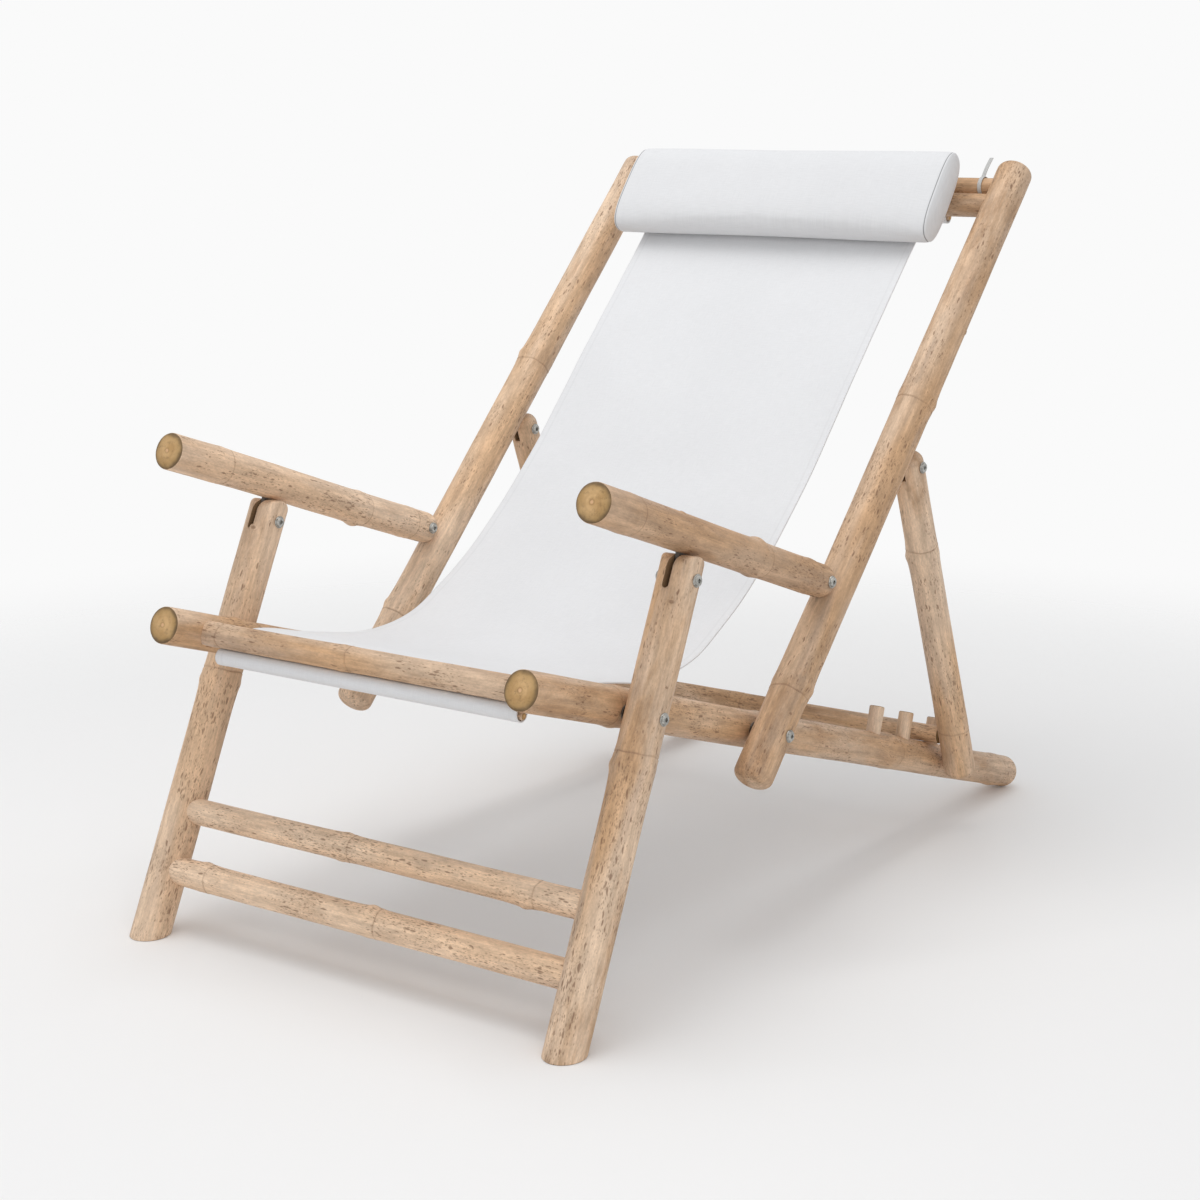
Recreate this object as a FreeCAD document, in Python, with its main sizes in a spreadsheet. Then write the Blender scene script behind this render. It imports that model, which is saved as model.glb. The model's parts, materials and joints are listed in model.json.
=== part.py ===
"""Bamboo folding recliner with a canvas sling, as a parametric document.

Millimetres, +Z up. The sitter looks along -Y and has +X on the left hand.
The origin is on the floor, at the middle of the chair's depth and width.
"""
import FreeCAD, Part
import math
import os

import Sketcher

Vector = FreeCAD.Vector

doc = FreeCAD.newDocument("BambooRecliner")
sheet = doc.addObject("Spreadsheet::Sheet", "Sizes")

# Driving dimensions, in millimetres and degrees.
SIZES = {
    "OverallWidth": 620,
    "OverallDepth": 1100,
    "OverallHeight": 840,
    "LegDiameter": 44,
    "RailDiameter": 41,
    "PoleDiameter": 44,
    "ArmDiameter": 40,
    "PropDiameter": 38,
    "PegDiameter": 18,
    "PropBarDiameter": 22.4,
    "FrontBarDiameter": 27,
    "UpperRungDiameter": 29,
    "LowerRungDiameter": 31,
    "TopBarDiameter": 23,
    "SlingBarDiameter": 30,
    "RodDiameter": 8,
    "RingRise": 0.7,
    "RingWidth": 7,
    "EndRound": 8,
    "CapRound": 3,
    "RailAngle": 17.5,
    "RailFront": 536,
    "FrontBarSetback": 53,
    "LegPivotDrop": 4.1,
    "SlotPivotOnArm": 278.8,
    "ArmAngle": 19.1,
    "ArmReach": 454,
    "PoleAngle": 44.2,
    "BackPivotFromFront": 413,
    "PoleStub": 65,
    "ArmPivotOnPole": 174.5,
    "PropPivotOnPole": 396,
    "PropOverhang": 56,
    "FirstPeg": 734,
    "PegSpacing": 80.4,
    "PegHeight": 32.5,
    "PegSocket": 16,
    "PegCount": 3,
    "NotchRoom": 5.8,
    "UpperRungHeight": 130,
    "LowerRungHeight": 68,
    "TopBarFromTop": 33,
    "SlingBarFromTop": 64.5,
    "TenonDepth": 12,
    "LegRing": 340,
    "PoleLowRing": 113,
    "PoleHighRing": 517,
    "ArmFrontRing": 78,
    "ArmRearRing": 333,
    "PropRing": 105,
    "RailFrontRing": 92,
    "RailPegRing": 700,
    "RailRearInset": 38.2,
    "FrontBarRing": 250,
    "RungRing": 300,
    "BoltDiameter": 7,
    "BoltHeadDiameter": 14,
    "BoltHeadThickness": 3,
    "BoltSocketDiameter": 4,
    "WasherDiameter": 18,
    "WasherThickness": 1.5,
    "TongueThickness": 5,
    "TongueWidth": 22,
    "TongueNeckWidth": 18,
    "TongueRoot": 18,
    "TonguePlay": 3.2,
    "LegTopGap": 2.8,
    "SlotRoom": 1.2,
    "FitClearance": 0.05,
    "SeatingGap": 0.3,
    "SlingThickness": 3,
    "SlingSideGap": 15.5,
    "SleeveDiameter": 16,
    "SleeveDrop": 26,
    "SeatTuckAngle": 30,
    "SeatTuckLean": 60,
    "SeatFaceAngle": -40,
    "SeatBrowAngle": -12,
    "SeatFrontRun": 46,
    "SeatSlopeRun": 135,
    "SeatSlopeDrop": 21,
    "SeatLowRun": 250,
    "SeatLowDrop": 39,
    "SeatRiseRun": 325,
    "SeatRiseDrop": 28,
    "JointOnPole": 85,
    "JointFront": 54,
    "JointAngle": 34,
    "BackLowOnPole": 150,
    "BackLowFront": 35,
    "BackMidOnPole": 284,
    "SleeveWrapAngle": 15,
    "PillowSideGap": 25.5,
    "PillowHeight": 127,
    "PillowThickness": 46,
    "PillowFootFromTop": 154,
    "PillowLean": 38,
    "TieWidth": 5,
    "TieThickness": 1,
}
for row, (alias, value) in enumerate(SIZES.items(), start=1):
    sheet.set("A%d" % row, alias)
    sheet.set("B%d" % row, str(value))
    sheet.setAlias("B%d" % row, alias)
doc.recompute()


def size(alias):
    return float(sheet.get(alias))


# Radii and clearances used by several pieces.
leg_radius = size("LegDiameter") / 2
rail_radius = size("RailDiameter") / 2
pole_radius = size("PoleDiameter") / 2
arm_radius = size("ArmDiameter") / 2
prop_radius = size("PropDiameter") / 2
prop_bar_radius = size("PropBarDiameter") / 2
fit = size("FitClearance")
seating = size("SeatingGap")
SIDES = {"left": 1, "right": -1}
HEAD_SIDES = 6
LEAN_STEPS = 20
OFFSET_TOLERANCE = 1e-3

# Planes across the chair: legs, poles, arms and props in the outer one, rails in the inner one.
outer_plane = size("OverallWidth") / 2 - size("BoltHeadThickness") - fit - leg_radius
outer_inside = outer_plane - max(leg_radius, pole_radius)
rail_plane = outer_inside - size("WasherThickness") - 2 * fit - rail_radius


def side_point(y, z):
    return Vector(0, y, z)


def heading(degrees):
    """Unit vector in the side view, turned up from the rearward horizontal."""
    return Vector(0, math.cos(math.radians(degrees)), math.sin(math.radians(degrees)))


# Rail: its rounded rear end lies on the floor and reaches the rear of the chair.
rail_along = heading(-size("RailAngle"))
rail_up = heading(90 - size("RailAngle"))
rail_tilt = math.radians(size("RailAngle"))
end_core = rail_radius - size("EndRound")
rail_end_y = (size("OverallDepth") / 2 - size("EndRound") * (1 - math.cos(rail_tilt))
              - end_core * math.sin(rail_tilt))
rail_end_z = (end_core * math.cos(rail_tilt)
              + size("EndRound") * (1 - math.sin(rail_tilt)))
rail_rear = side_point(rail_end_y, rail_end_z)
rail_length = (rail_end_y + size("RailFront")) / math.cos(rail_tilt)
rail_front = rail_rear - rail_along * rail_length

# Pole: leans back from the bolt that carries it on the rail.
back_pivot = rail_front + rail_along * size("BackPivotFromFront")
pole_along = heading(90 - size("PoleAngle"))
pole_front = heading(180 - size("PoleAngle"))
pole_bottom = back_pivot - pole_along * size("PoleStub")
pole_top_rise = size("OverallHeight") - pole_radius - back_pivot.z
pole_above = pole_top_rise / pole_along.z + pole_radius
pole_length = size("PoleStub") + pole_above

# Arm: its rounded rear end bears on the front of the pole.
arm_pivot = (back_pivot + pole_along * size("ArmPivotOnPole")
             + pole_front * (pole_radius + arm_radius + seating))
arm_forward = heading(180 - size("ArmAngle"))
arm_down = heading(-90 - size("ArmAngle"))
slot_pivot = (arm_pivot + arm_forward * size("SlotPivotOnArm")
              + arm_down * (arm_radius + leg_radius + size("LegTopGap")))
arm_length = size("ArmReach") + arm_radius

# Leg: a straight line from its foot to the bolt under the arm.
leg_lean = math.atan2(slot_pivot.y + size("OverallDepth") / 2, slot_pivot.z)
for _ in range(LEAN_STEPS):
    foot_y = -size("OverallDepth") / 2 + leg_radius / math.cos(leg_lean)
    leg_lean = math.atan2(slot_pivot.y - foot_y, slot_pivot.z)
leg_foot = side_point(foot_y, 0)
leg_along = heading(90 - math.degrees(leg_lean))
leg_rise = (rail_front - leg_foot).dot(rail_up) - size("LegPivotDrop")
leg_pivot = leg_foot + leg_along * (leg_rise / leg_along.dot(rail_up))
leg_spare = leg_radius * 2
leg_length = (slot_pivot - leg_foot).Length + leg_spare + leg_radius

# Pegs stand on the rail, and the props' crossbar lies just in front of the last one.
last_peg = size("FirstPeg") + (size("PegCount") - 1) * size("PegSpacing")
prop_bar_reach = (last_peg - size("PegDiameter") / 2 - size("NotchRoom")
                  - prop_bar_radius)
prop_bar_centre = (rail_front + rail_along * prop_bar_reach
                   + rail_up * (rail_radius + prop_bar_radius + fit))
prop_pivot = (back_pivot + pole_along * size("PropPivotOnPole")
              - pole_front * (pole_radius + prop_radius + seating))
prop_line = prop_bar_centre - prop_pivot
prop_down = Vector(prop_line).normalize()
prop_length = prop_line.Length + prop_radius + size("PropOverhang")

# Crossbars.
front_bar_centre = rail_front + rail_along * size("FrontBarSetback")
top_bar_centre = back_pivot + pole_along * (pole_above - size("TopBarFromTop"))
sling_bar_centre = back_pivot + pole_along * (pole_above - size("SlingBarFromTop"))
upper_rung_centre = leg_foot + leg_along * (size("UpperRungHeight") / leg_along.z)
lower_rung_centre = leg_foot + leg_along * (size("LowerRungHeight") / leg_along.z)
rail_bar_half = rail_plane - rail_radius + size("TenonDepth")
leg_bar_half = outer_plane - leg_radius + size("TenonDepth")
pole_bar_half = outer_plane - pole_radius + size("TenonDepth")
prop_bar_half = outer_plane - prop_radius - seating - fit


def origin_plane(body, role):
    return next(o for o in body.Origin.OriginFeatures if o.Role == role)


def turn_to(direction):
    return FreeCAD.Rotation(Vector(0, 0, 1), direction)


def place(item, point, direction):
    item.Placement = FreeCAD.Placement(point, turn_to(direction))
    return item


def expression_value(text):
    """The number that an expression of sheet sizes comes to."""
    names = {alias: size(alias) for alias in SIZES}
    value = 0.0
    for term in text.replace(" - ", " + -").split(" + "):
        sign = -1 if term.startswith("-") else 1
        word, _, divisor = term.lstrip("-").partition(" / ")
        word = word.removeprefix("Sizes.")
        value += sign * (names[word] if word in names else float(word)) / float(divisor or 1)
    return value


def culm(label, diameter, length, rings=(), start="cap", end="cap"):
    """A bamboo culm: a profile turned about the body's own upright axis.

    Each vertex has a radius and a height, as sums of sizes. A cap is a flat end
    with a small chamfer, a soft end has a rounded edge and a dome is half a ball.
    """
    radius = "Sizes.%s / 2" % diameter
    total = "%.6f" % length
    rounding = {"cap": "Sizes.CapRound", "soft": "Sizes.EndRound", "dome": radius}
    profile = [("0", "0", start == "dome")]
    if start != "dome":
        profile.append(("%s - %s" % (radius, rounding[start]), "0", start == "soft"))
    profile.append((radius, rounding[start], False))
    for ring in rings:
        profile.append((radius, "%s - Sizes.RingWidth" % ring, False))
        profile.append(("%s + Sizes.RingRise" % radius, ring, False))
        profile.append((radius, "%s + Sizes.RingWidth" % ring, False))
    profile.append((radius, "%s - %s" % (total, rounding[end]), end != "cap"))
    if end != "dome":
        profile.append(("%s - %s" % (radius, rounding[end]), total, False))
    profile.append(("0", total, False))

    body = doc.addObject("PartDesign::Body", label)
    sketch = body.newObject("Sketcher::SketchObject", label + "_profile")
    sketch.AttachmentSupport = [(origin_plane(body, "XZ_Plane"), "")]
    sketch.MapMode = "FlatFace"
    points = [Vector(expression_value(across), expression_value(up), 0)
              for across, up, _ in profile]
    for index, (_, _, is_round) in enumerate(profile):
        start_point, end_point = points[index], points[(index + 1) % len(points)]
        if is_round:
            edge = quarter_round(start_point, end_point)
        else:
            edge = Part.LineSegment(start_point, end_point)
        sketch.addGeometry(edge, False)
    for index, (across, up, is_round) in enumerate(profile):
        following = (index + 1) % len(profile)
        sketch.addConstraint(Sketcher.Constraint("Coincident", index, 2, following, 1))
        hold_point(sketch, index, 1, "DistanceX", across)
        hold_point(sketch, index, 1, "DistanceY", up)
        if is_round:
            inner = min((across, profile[following][0]), key=expression_value)
            hold_point(sketch, index, 3, "DistanceX", inner)
    turned = body.newObject("PartDesign::Revolution", label + "_turned")
    turned.Profile = sketch
    turned.ReferenceAxis = (sketch, ["V_Axis"])
    turned.Angle = 360
    body.Tip = turned
    return body


def quarter_round(start_point, end_point):
    """The quarter circle, anticlockwise, between two points of a culm's profile."""
    reach = abs(end_point.x - start_point.x)
    at_bottom = end_point.x > start_point.x
    centre = Vector(min(start_point.x, end_point.x),
                    end_point.y if at_bottom else start_point.y, 0)
    circle = Part.Circle(centre, Vector(0, 0, 1), reach)
    if at_bottom:
        return Part.ArcOfCircle(circle, -math.pi / 2, 0)
    return Part.ArcOfCircle(circle, 0, math.pi / 2)


def hold_point(sketch, index, point, kind, expression):
    """Keep one coordinate of a sketch point at a sum of sizes."""
    if expression == "0":
        axis = -2 if kind == "DistanceX" else -1
        sketch.addConstraint(Sketcher.Constraint("PointOnObject", index, point, axis))
        return
    value = expression_value(expression)
    tag = sketch.addConstraint(Sketcher.Constraint(kind, -1, 1, index, point, value))
    sketch.setExpression("Constraints[%d]" % tag, expression)


def rod(label, diameter, half, centre, extra=0.0):
    """A plain cylinder across the chair, about its middle plane."""
    item = doc.addObject("Part::Cylinder", label)
    item.setExpression("Radius", "Sizes.%s / 2 + %.6f" % (diameter, extra))
    item.Height = 2 * half
    return place(item, centre - Vector(half, 0, 0), Vector(1, 0, 0))


def pin(label, diameter, first, last, centre, extra=0.0):
    """A cylinder across the chair from one side position to another."""
    item = doc.addObject("Part::Cylinder", label)
    item.setExpression("Radius", "Sizes.%s / 2 + %.6f" % (diameter, extra))
    item.Height = abs(last - first)
    return place(item, centre + Vector(min(first, last), 0, 0), Vector(1, 0, 0))


def block(label, across, thickness, corner, along, reach, depth):
    """A box in the side view: from a corner, along a direction and to its left."""
    item = doc.addObject("Part::Box", label)
    item.Length = thickness
    item.Width = reach
    item.Height = depth
    angle = math.degrees(math.atan2(along.z, along.y))
    item.Placement = FreeCAD.Placement(corner + Vector(across - thickness / 2, 0, 0),
                                       FreeCAD.Rotation(Vector(1, 0, 0), angle))
    return item


def less(label, base, tools):
    """A piece with its holes, slots and sockets cut away."""
    for number, tool in enumerate(tools, start=1):
        name = label if number == len(tools) else "%s_cut_%d" % (label, number)
        cut = doc.addObject("Part::Cut", name)
        cut.Base = base
        cut.Tool = tool
        base = cut
    return base


def group(label, items):
    compound = doc.addObject("Part::Compound", label)
    compound.Links = items
    return compound


def joined(label, items):
    fuse = doc.addObject("Part::MultiFuse", label)
    fuse.Shapes = items
    return fuse


nodes = []


def node(item, label):
    item.Label = label
    nodes.append(item)
    return item


# Crossbars that end in sockets.
CROSSBARS = {
    "front_bar": ("FrontBarDiameter", rail_bar_half, front_bar_centre, "Sizes.FrontBarRing"),
    "rung_upper": ("UpperRungDiameter", leg_bar_half, upper_rung_centre, "Sizes.RungRing"),
    "rung_lower": ("LowerRungDiameter", leg_bar_half, lower_rung_centre, "Sizes.RungRing"),
    "top_bar": ("TopBarDiameter", pole_bar_half, top_bar_centre, "Sizes.FrontBarRing"),
    "sling_bar": ("SlingBarDiameter", pole_bar_half, sling_bar_centre, "Sizes.RungRing"),
    "prop_bar": ("PropBarDiameter", prop_bar_half, prop_bar_centre, "Sizes.RungRing"),
}
for name, (diameter, half, centre, ring) in CROSSBARS.items():
    bar = culm(name, diameter, 2 * half, (ring,))
    node(place(bar, centre - Vector(half, 0, 0), Vector(1, 0, 0)), name)


def socket(name, owner):
    """The hole that a crossbar's end sits in."""
    diameter, half, centre, _ = CROSSBARS[name]
    return rod("%s_socket_%s" % (name, owner), diameter, half + fit, centre, fit)


def bolt_hole(side, owner, centre, play=0.0):
    label = "%s_hole_%s" % (owner, side)
    width = size("OverallWidth") / 2
    first = 0 if SIDES[side] > 0 else -width
    return pin(label, "BoltDiameter", first, first + width, centre, fit + play)


def tongue_slot(side, owner, corner, along, reach, depth):
    thickness = size("TongueThickness") + 2 * size("SlotRoom")
    return block("%s_slot_%s" % (owner, side), SIDES[side] * outer_plane, thickness,
                 corner, along, reach, depth)


def tongue(label, side, root, tip, width, hole_play):
    """A flat plate from its root to a rounded end about a bolt."""
    thickness = size("TongueThickness")
    reach = (tip - root).Length
    along = (tip - root).normalize()
    left = Vector(0, -along.z, along.y)
    across = SIDES[side] * outer_plane
    plate = block(label + "_plate", across, thickness, root - left * (width / 2),
                  along, reach, width)
    end = doc.addObject("Part::Cylinder", label + "_end")
    end.Radius = width / 2
    end.Height = thickness
    place(end, tip + Vector(across - thickness / 2, 0, 0), Vector(1, 0, 0))
    solid = joined(label + "_solid", [plate, end])
    hole = pin(label + "_hole", "BoltDiameter", across - thickness, across + thickness,
               tip, fit + hole_play)
    return node(less(label, solid, [hole]), label), plate


def plate_socket(label, side, root, tip, width):
    """The pocket that holds a tongue's root, with a thin clearance all round."""
    thickness = size("TongueThickness") + 2 * fit
    along = (tip - root).normalize()
    left = Vector(0, -along.z, along.y)
    corner = root - left * (width / 2 + fit) - along * fit
    return block(label, SIDES[side] * outer_plane, thickness, corner, along,
                 (tip - root).Length, width + 2 * fit)


def slotted_side(side):
    """Every culm of one side of the chair, with its slots, holes and tongues."""
    way = SIDES[side]
    outer = Vector(way * outer_plane, 0, 0)
    inner = Vector(way * rail_plane, 0, 0)

    # Tongues: their roots sit in the arm's underside and in the pole.
    root = size("TongueRoot")
    narrow = size("TongueNeckWidth")
    arm_root = arm_pivot - pole_front * (arm_radius + seating + root)
    prop_root = prop_pivot + pole_front * (prop_radius + seating + root)
    leg_root = slot_pivot - arm_down * (leg_radius + size("LegTopGap") + root)
    tongue("arm_tongue_" + side, side, arm_root, arm_pivot, narrow, 0)
    tongue("prop_tongue_" + side, side, prop_root, prop_pivot, narrow, 0)
    tongue("leg_tongue_" + side, side, leg_root, slot_pivot, size("TongueWidth"),
           size("TonguePlay"))

    # Rail.
    rail = culm("rail_%s_culm" % side, "RailDiameter", rail_length,
                ("Sizes.RailFrontRing", "Sizes.RailPegRing",
                 "%.6f - Sizes.RailRearInset" % rail_length), "cap", "soft")
    place(rail, rail_front + inner, rail_along)
    rail_cuts = [socket("front_bar", "rail_" + side),
                 bolt_hole(side, "rail_leg", leg_pivot),
                 bolt_hole(side, "rail_pole", back_pivot)]
    for number in range(1, int(size("PegCount")) + 1):
        reach = size("FirstPeg") + (number - 1) * size("PegSpacing")
        bottom = (rail_front + inner + rail_along * reach
                  + rail_up * (rail_radius - size("PegSocket")))
        peg = doc.addObject("Part::Cylinder", "peg_%s_%d" % (side, number))
        peg.setExpression("Radius", "Sizes.PegDiameter / 2")
        peg.setExpression("Height", "Sizes.PegSocket + Sizes.PegHeight")
        node(place(peg, bottom, rail_up), "peg_%s_%d" % (side, number))
        hole = doc.addObject("Part::Cylinder", "peg_socket_%s_%d" % (side, number))
        hole.setExpression("Radius", "Sizes.PegDiameter / 2 + Sizes.FitClearance")
        hole.setExpression("Height", "Sizes.PegSocket + Sizes.PegHeight")
        rail_cuts.append(place(hole, bottom - rail_up * fit, rail_up))
    node(less("rail_" + side, rail, rail_cuts), "rail_" + side)

    # Leg: cut level at the floor, slotted at the top.
    leg = culm("leg_%s_culm" % side, "LegDiameter", leg_length, ("Sizes.LegRing",), "cap", "dome")
    place(leg, leg_foot - leg_along * leg_spare + outer, leg_along)
    floor = doc.addObject("Part::Box", "leg_floor_" + side)
    floor.Length = floor.Width = 4 * leg_spare
    floor.Height = 2 * leg_spare
    floor.Placement.Base = leg_foot + outer - Vector(2 * leg_spare, 2 * leg_spare, 2 * leg_spare)
    slot_left = Vector(0, -leg_along.z, leg_along.y)
    slot_depth = size("TongueWidth") / 2 + size("TonguePlay") + size("SlotRoom")
    leg_slot = tongue_slot(side, "leg", slot_pivot - leg_along * slot_depth - slot_left * leg_spare,
                           leg_along, slot_depth + leg_spare, 2 * leg_spare)
    node(less("leg_" + side, leg, [floor, leg_slot,
                                   socket("rung_upper", "leg_" + side),
                                   socket("rung_lower", "leg_" + side),
                                   bolt_hole(side, "leg_rail", leg_pivot),
                                   bolt_hole(side, "leg_top", slot_pivot)]), "leg_" + side)

    # Pole: domed at both ends.
    pole = culm("pole_%s_culm" % side, "PoleDiameter", pole_length,
                ("Sizes.PoleLowRing", "Sizes.PoleHighRing"), "dome", "dome")
    place(pole, pole_bottom + outer, pole_along)
    node(less("pole_" + side, pole, [
        socket("top_bar", "pole_" + side),
        socket("sling_bar", "pole_" + side),
        bolt_hole(side, "pole_rail", back_pivot),
        plate_socket("pole_arm_pocket_" + side, side, arm_root, arm_pivot, narrow),
        plate_socket("pole_prop_pocket_" + side, side, prop_root, prop_pivot, narrow),
    ]), "pole_" + side)

    # Arm: domed about its bolt, with a slot that opens to the rear and below.
    arm = culm("arm_%s_culm" % side, "ArmDiameter", arm_length,
               ("Sizes.ArmFrontRing", "Sizes.ArmRearRing"), "cap", "dome")
    arm_front = arm_pivot + arm_forward * size("ArmReach")
    place(arm, arm_front + outer, arm_forward * -1)
    room = narrow / 2 + size("SlotRoom")
    arm_slot = tongue_slot(side, "arm", arm_pivot + arm_forward * room + arm_down * (2 * arm_radius),
                           arm_forward * -1, room + 2 * arm_radius, 2 * arm_radius + room)
    node(less("arm_" + side, arm, [
        arm_slot,
        bolt_hole(side, "arm_pole", arm_pivot),
        plate_socket("arm_leg_pocket_" + side, side, leg_root, slot_pivot, size("TongueWidth")),
    ]), "arm_" + side)

    # Prop: domed at both ends, with a slot across its top.
    prop = culm("prop_%s_culm" % side, "PropDiameter", prop_length, ("Sizes.PropRing",),
                "dome", "dome")
    place(prop, prop_pivot - prop_down * prop_radius + outer, prop_down)
    prop_left = Vector(0, -prop_down.z, prop_down.y)
    prop_slot = tongue_slot(side, "prop",
                            prop_pivot - prop_down * (2 * prop_radius) - prop_left * (2 * prop_radius),
                            prop_down, room + 2 * prop_radius, 4 * prop_radius)
    node(less("prop_" + side, prop, [prop_slot, bolt_hole(side, "prop_pole", prop_pivot)]),
         "prop_" + side)


for side in SIDES:
    slotted_side(side)


def bolt(label, side, centre, inside, outside):
    """A shank with a socket head at each end, from an inner to an outer face."""
    way = SIDES[side]
    head = size("BoltHeadThickness")
    start, stop = way * inside, way * outside
    shank = pin(label + "_shank", "BoltDiameter", start, stop, centre)
    heads = []
    for name, face, direction in (("inner", start, -way), ("outer", stop, way)):
        hexagon = doc.addObject("Part::Prism", "%s_%s_head" % (label, name))
        hexagon.Polygon = HEAD_SIDES
        hexagon.setExpression("Circumradius", "Sizes.BoltHeadDiameter / 2")
        hexagon.setExpression("Height", "Sizes.BoltHeadThickness")
        place(hexagon, centre + Vector(face, 0, 0), Vector(direction, 0, 0))
        key = pin("%s_%s_key" % (label, name), "BoltSocketDiameter",
                  face + direction * head / 2, face + direction * 2 * head, centre)
        heads.append(less("%s_%s_end" % (label, name), hexagon, [key]))
    return joined(label, [shank] + heads)


BOLTS = {
    "leg_bolts": (leg_pivot, rail_plane - rail_radius, outer_plane + leg_radius),
    "back_bolts": (back_pivot, rail_plane - rail_radius, outer_plane + pole_radius),
    "slot_bolts": (slot_pivot, outer_plane - leg_radius, outer_plane + leg_radius),
    "arm_bolts": (arm_pivot, outer_plane - arm_radius, outer_plane + arm_radius),
    "prop_bolts": (prop_pivot, outer_plane - prop_radius, outer_plane + prop_radius),
}
for name, (centre, inside, outside) in BOLTS.items():
    pair = [bolt("%s_%s" % (name, side), side, centre, inside - fit, outside + fit)
            for side in SIDES]
    node(group(name, pair), name)

washers = []
for side, way in SIDES.items():
    for name, centre in (("leg", leg_pivot), ("pole", back_pivot)):
        face = way * (rail_plane + rail_radius + fit)
        edge = way * (outer_inside - fit)
        disc = pin("washer_%s_%s_disc" % (name, side), "WasherDiameter", face, edge, centre)
        hole = pin("washer_%s_%s_hole" % (name, side), "BoltDiameter",
                   way * rail_plane, way * outer_plane, centre, fit)
        washers.append(less("washer_%s_%s" % (name, side), disc, [hole]))
node(group("washers", washers), "washers")

# Sling: canvas from a sleeve under the front bar, over the seat, to a sleeve behind the top.
canvas = size("SlingThickness")
rod_radius = size("RodDiameter") / 2
sleeve_radius = size("SleeveDiameter") / 2
half_sling = rail_plane - rail_radius - size("SlingSideGap")
bar_gap = size("FrontBarDiameter") / 2 + size("RingRise") + canvas / 2
seat_rod_centre = front_bar_centre - Vector(0, 0, size("SleeveDrop"))


def canvas_line(points, first_heading, last_heading):
    """A smooth edge along the canvas's middle, at its right-hand side."""
    curve = Part.BSplineCurve()
    curve.interpolate([point - Vector(half_sling, 0, 0) for point in points],
                      InitialTangent=heading(first_heading),
                      FinalTangent=heading(last_heading))
    return curve.toShape()


def canvas_band(edges):
    """A closed band of canvas about a line of edges in the side view."""
    middle = Part.Wire(edges).extrude(Vector(2 * half_sling, 0, 0))
    lower = middle.makeOffsetShape(-canvas / 2, OFFSET_TOLERANCE)
    return lower.makeOffsetShape(canvas, OFFSET_TOLERANCE, fill=True)


def sleeve(centre):
    return Part.makeCylinder(sleeve_radius, 2 * half_sling,
                             centre - Vector(half_sling, 0, 0), Vector(1, 0, 0))


def sleeve_hole(centre):
    reach = half_sling + canvas
    return Part.makeCylinder(rod_radius + fit, 2 * reach,
                             centre - Vector(reach, 0, 0), Vector(1, 0, 0))


def feature(label, shape):
    item = doc.addObject("Part::Feature", label)
    item.Shape = shape
    return node(item, label)


joint = back_pivot + pole_along * size("JointOnPole") + pole_front * size("JointFront")
joint_along = heading(size("JointAngle"))
seat_points = [
    seat_rod_centre + heading(size("SeatTuckAngle")) * (sleeve_radius - canvas / 2),
    front_bar_centre + heading(size("SeatFaceAngle")) * (bar_gap + canvas / 2),
    front_bar_centre + heading(size("SeatBrowAngle")) * (bar_gap + canvas),
    front_bar_centre + side_point(size("SeatFrontRun"), -canvas / 2),
    front_bar_centre + side_point(size("SeatSlopeRun"), -size("SeatSlopeDrop")),
    front_bar_centre + side_point(size("SeatLowRun"), -size("SeatLowDrop")),
    front_bar_centre + side_point(size("SeatRiseRun"), -size("SeatRiseDrop")),
    joint - joint_along * seating,
]
seat_band = canvas_band([canvas_line(seat_points, size("SeatTuckLean"), size("JointAngle"))])
seat_shape = seat_band.fuse(sleeve(seat_rod_centre)).cut(sleeve_hole(seat_rod_centre))
feature("seat_sling", seat_shape.removeSplitter())

sling_gap = size("SlingBarDiameter") / 2 + size("RingRise") + canvas / 2 + seating
back_rod_centre = (sling_bar_centre
                   - pole_front * (sling_gap - canvas / 2 + sleeve_radius))
lean = 90 - size("PoleAngle")
back_low = canvas_line([
    joint + joint_along * seating,
    back_pivot + pole_along * size("BackLowOnPole") + pole_front * size("BackLowFront"),
    back_pivot + pole_along * size("BackMidOnPole") + pole_front * sling_gap,
], size("JointAngle"), lean)
right_edge = Vector(-half_sling, 0, 0)
bar_front = sling_bar_centre + pole_front * sling_gap + right_edge
bar_back = sling_bar_centre + heading(lean - 90 + size("SleeveWrapAngle")) * sling_gap + right_edge
bar_over = sling_bar_centre + pole_along * sling_gap + right_edge
back_straight = Part.makeLine(back_low.Vertexes[-1].Point, bar_front)
back_wrap = Part.Arc(bar_front, bar_over, bar_back).toShape()
back_band = canvas_band([back_low, back_straight, back_wrap])
back_shape = back_band.fuse(sleeve(back_rod_centre)).cut(sleeve_hole(back_rod_centre))
feature("back_sling", back_shape.removeSplitter())

for name, centre in (("seat_rod", seat_rod_centre), ("back_rod", back_rod_centre)):
    node(rod(name, "RodDiameter", half_sling + canvas, centre), name)

# Pillow: a rounded cushion in front of the sling's top.
pillow_half = outer_plane - pole_radius - size("PillowSideGap")
pillow_thickness = size("PillowThickness")
pillow_round = pillow_thickness / 2
pillow_core = size("PillowHeight") / 2 - pillow_round
pillow_along = heading(90 - size("PillowLean"))
pillow_foot = (back_pivot + pole_along * (pole_above - size("PillowFootFromTop"))
               + pole_front * (sling_gap + canvas / 2 + seating + pillow_round))
pillow_centre = pillow_foot + pillow_along * pillow_core
pillow_parts = []
for label, shift in (("upper", pillow_core), ("lower", -pillow_core)):
    roll = rod("pillow_" + label, "PillowThickness", pillow_half,
               pillow_centre + pillow_along * shift)
    pillow_parts.append(roll)
pillow_left = Vector(0, -pillow_along.z, pillow_along.y)
pillow_parts.append(block("pillow_core", 0, 2 * pillow_half,
                          pillow_centre - pillow_along * pillow_core - pillow_left * pillow_round,
                          pillow_along, 2 * pillow_core, pillow_thickness))
pillow = joined("pillow", pillow_parts)
pillow.Refine = True
node(pillow, "pillow")

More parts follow.
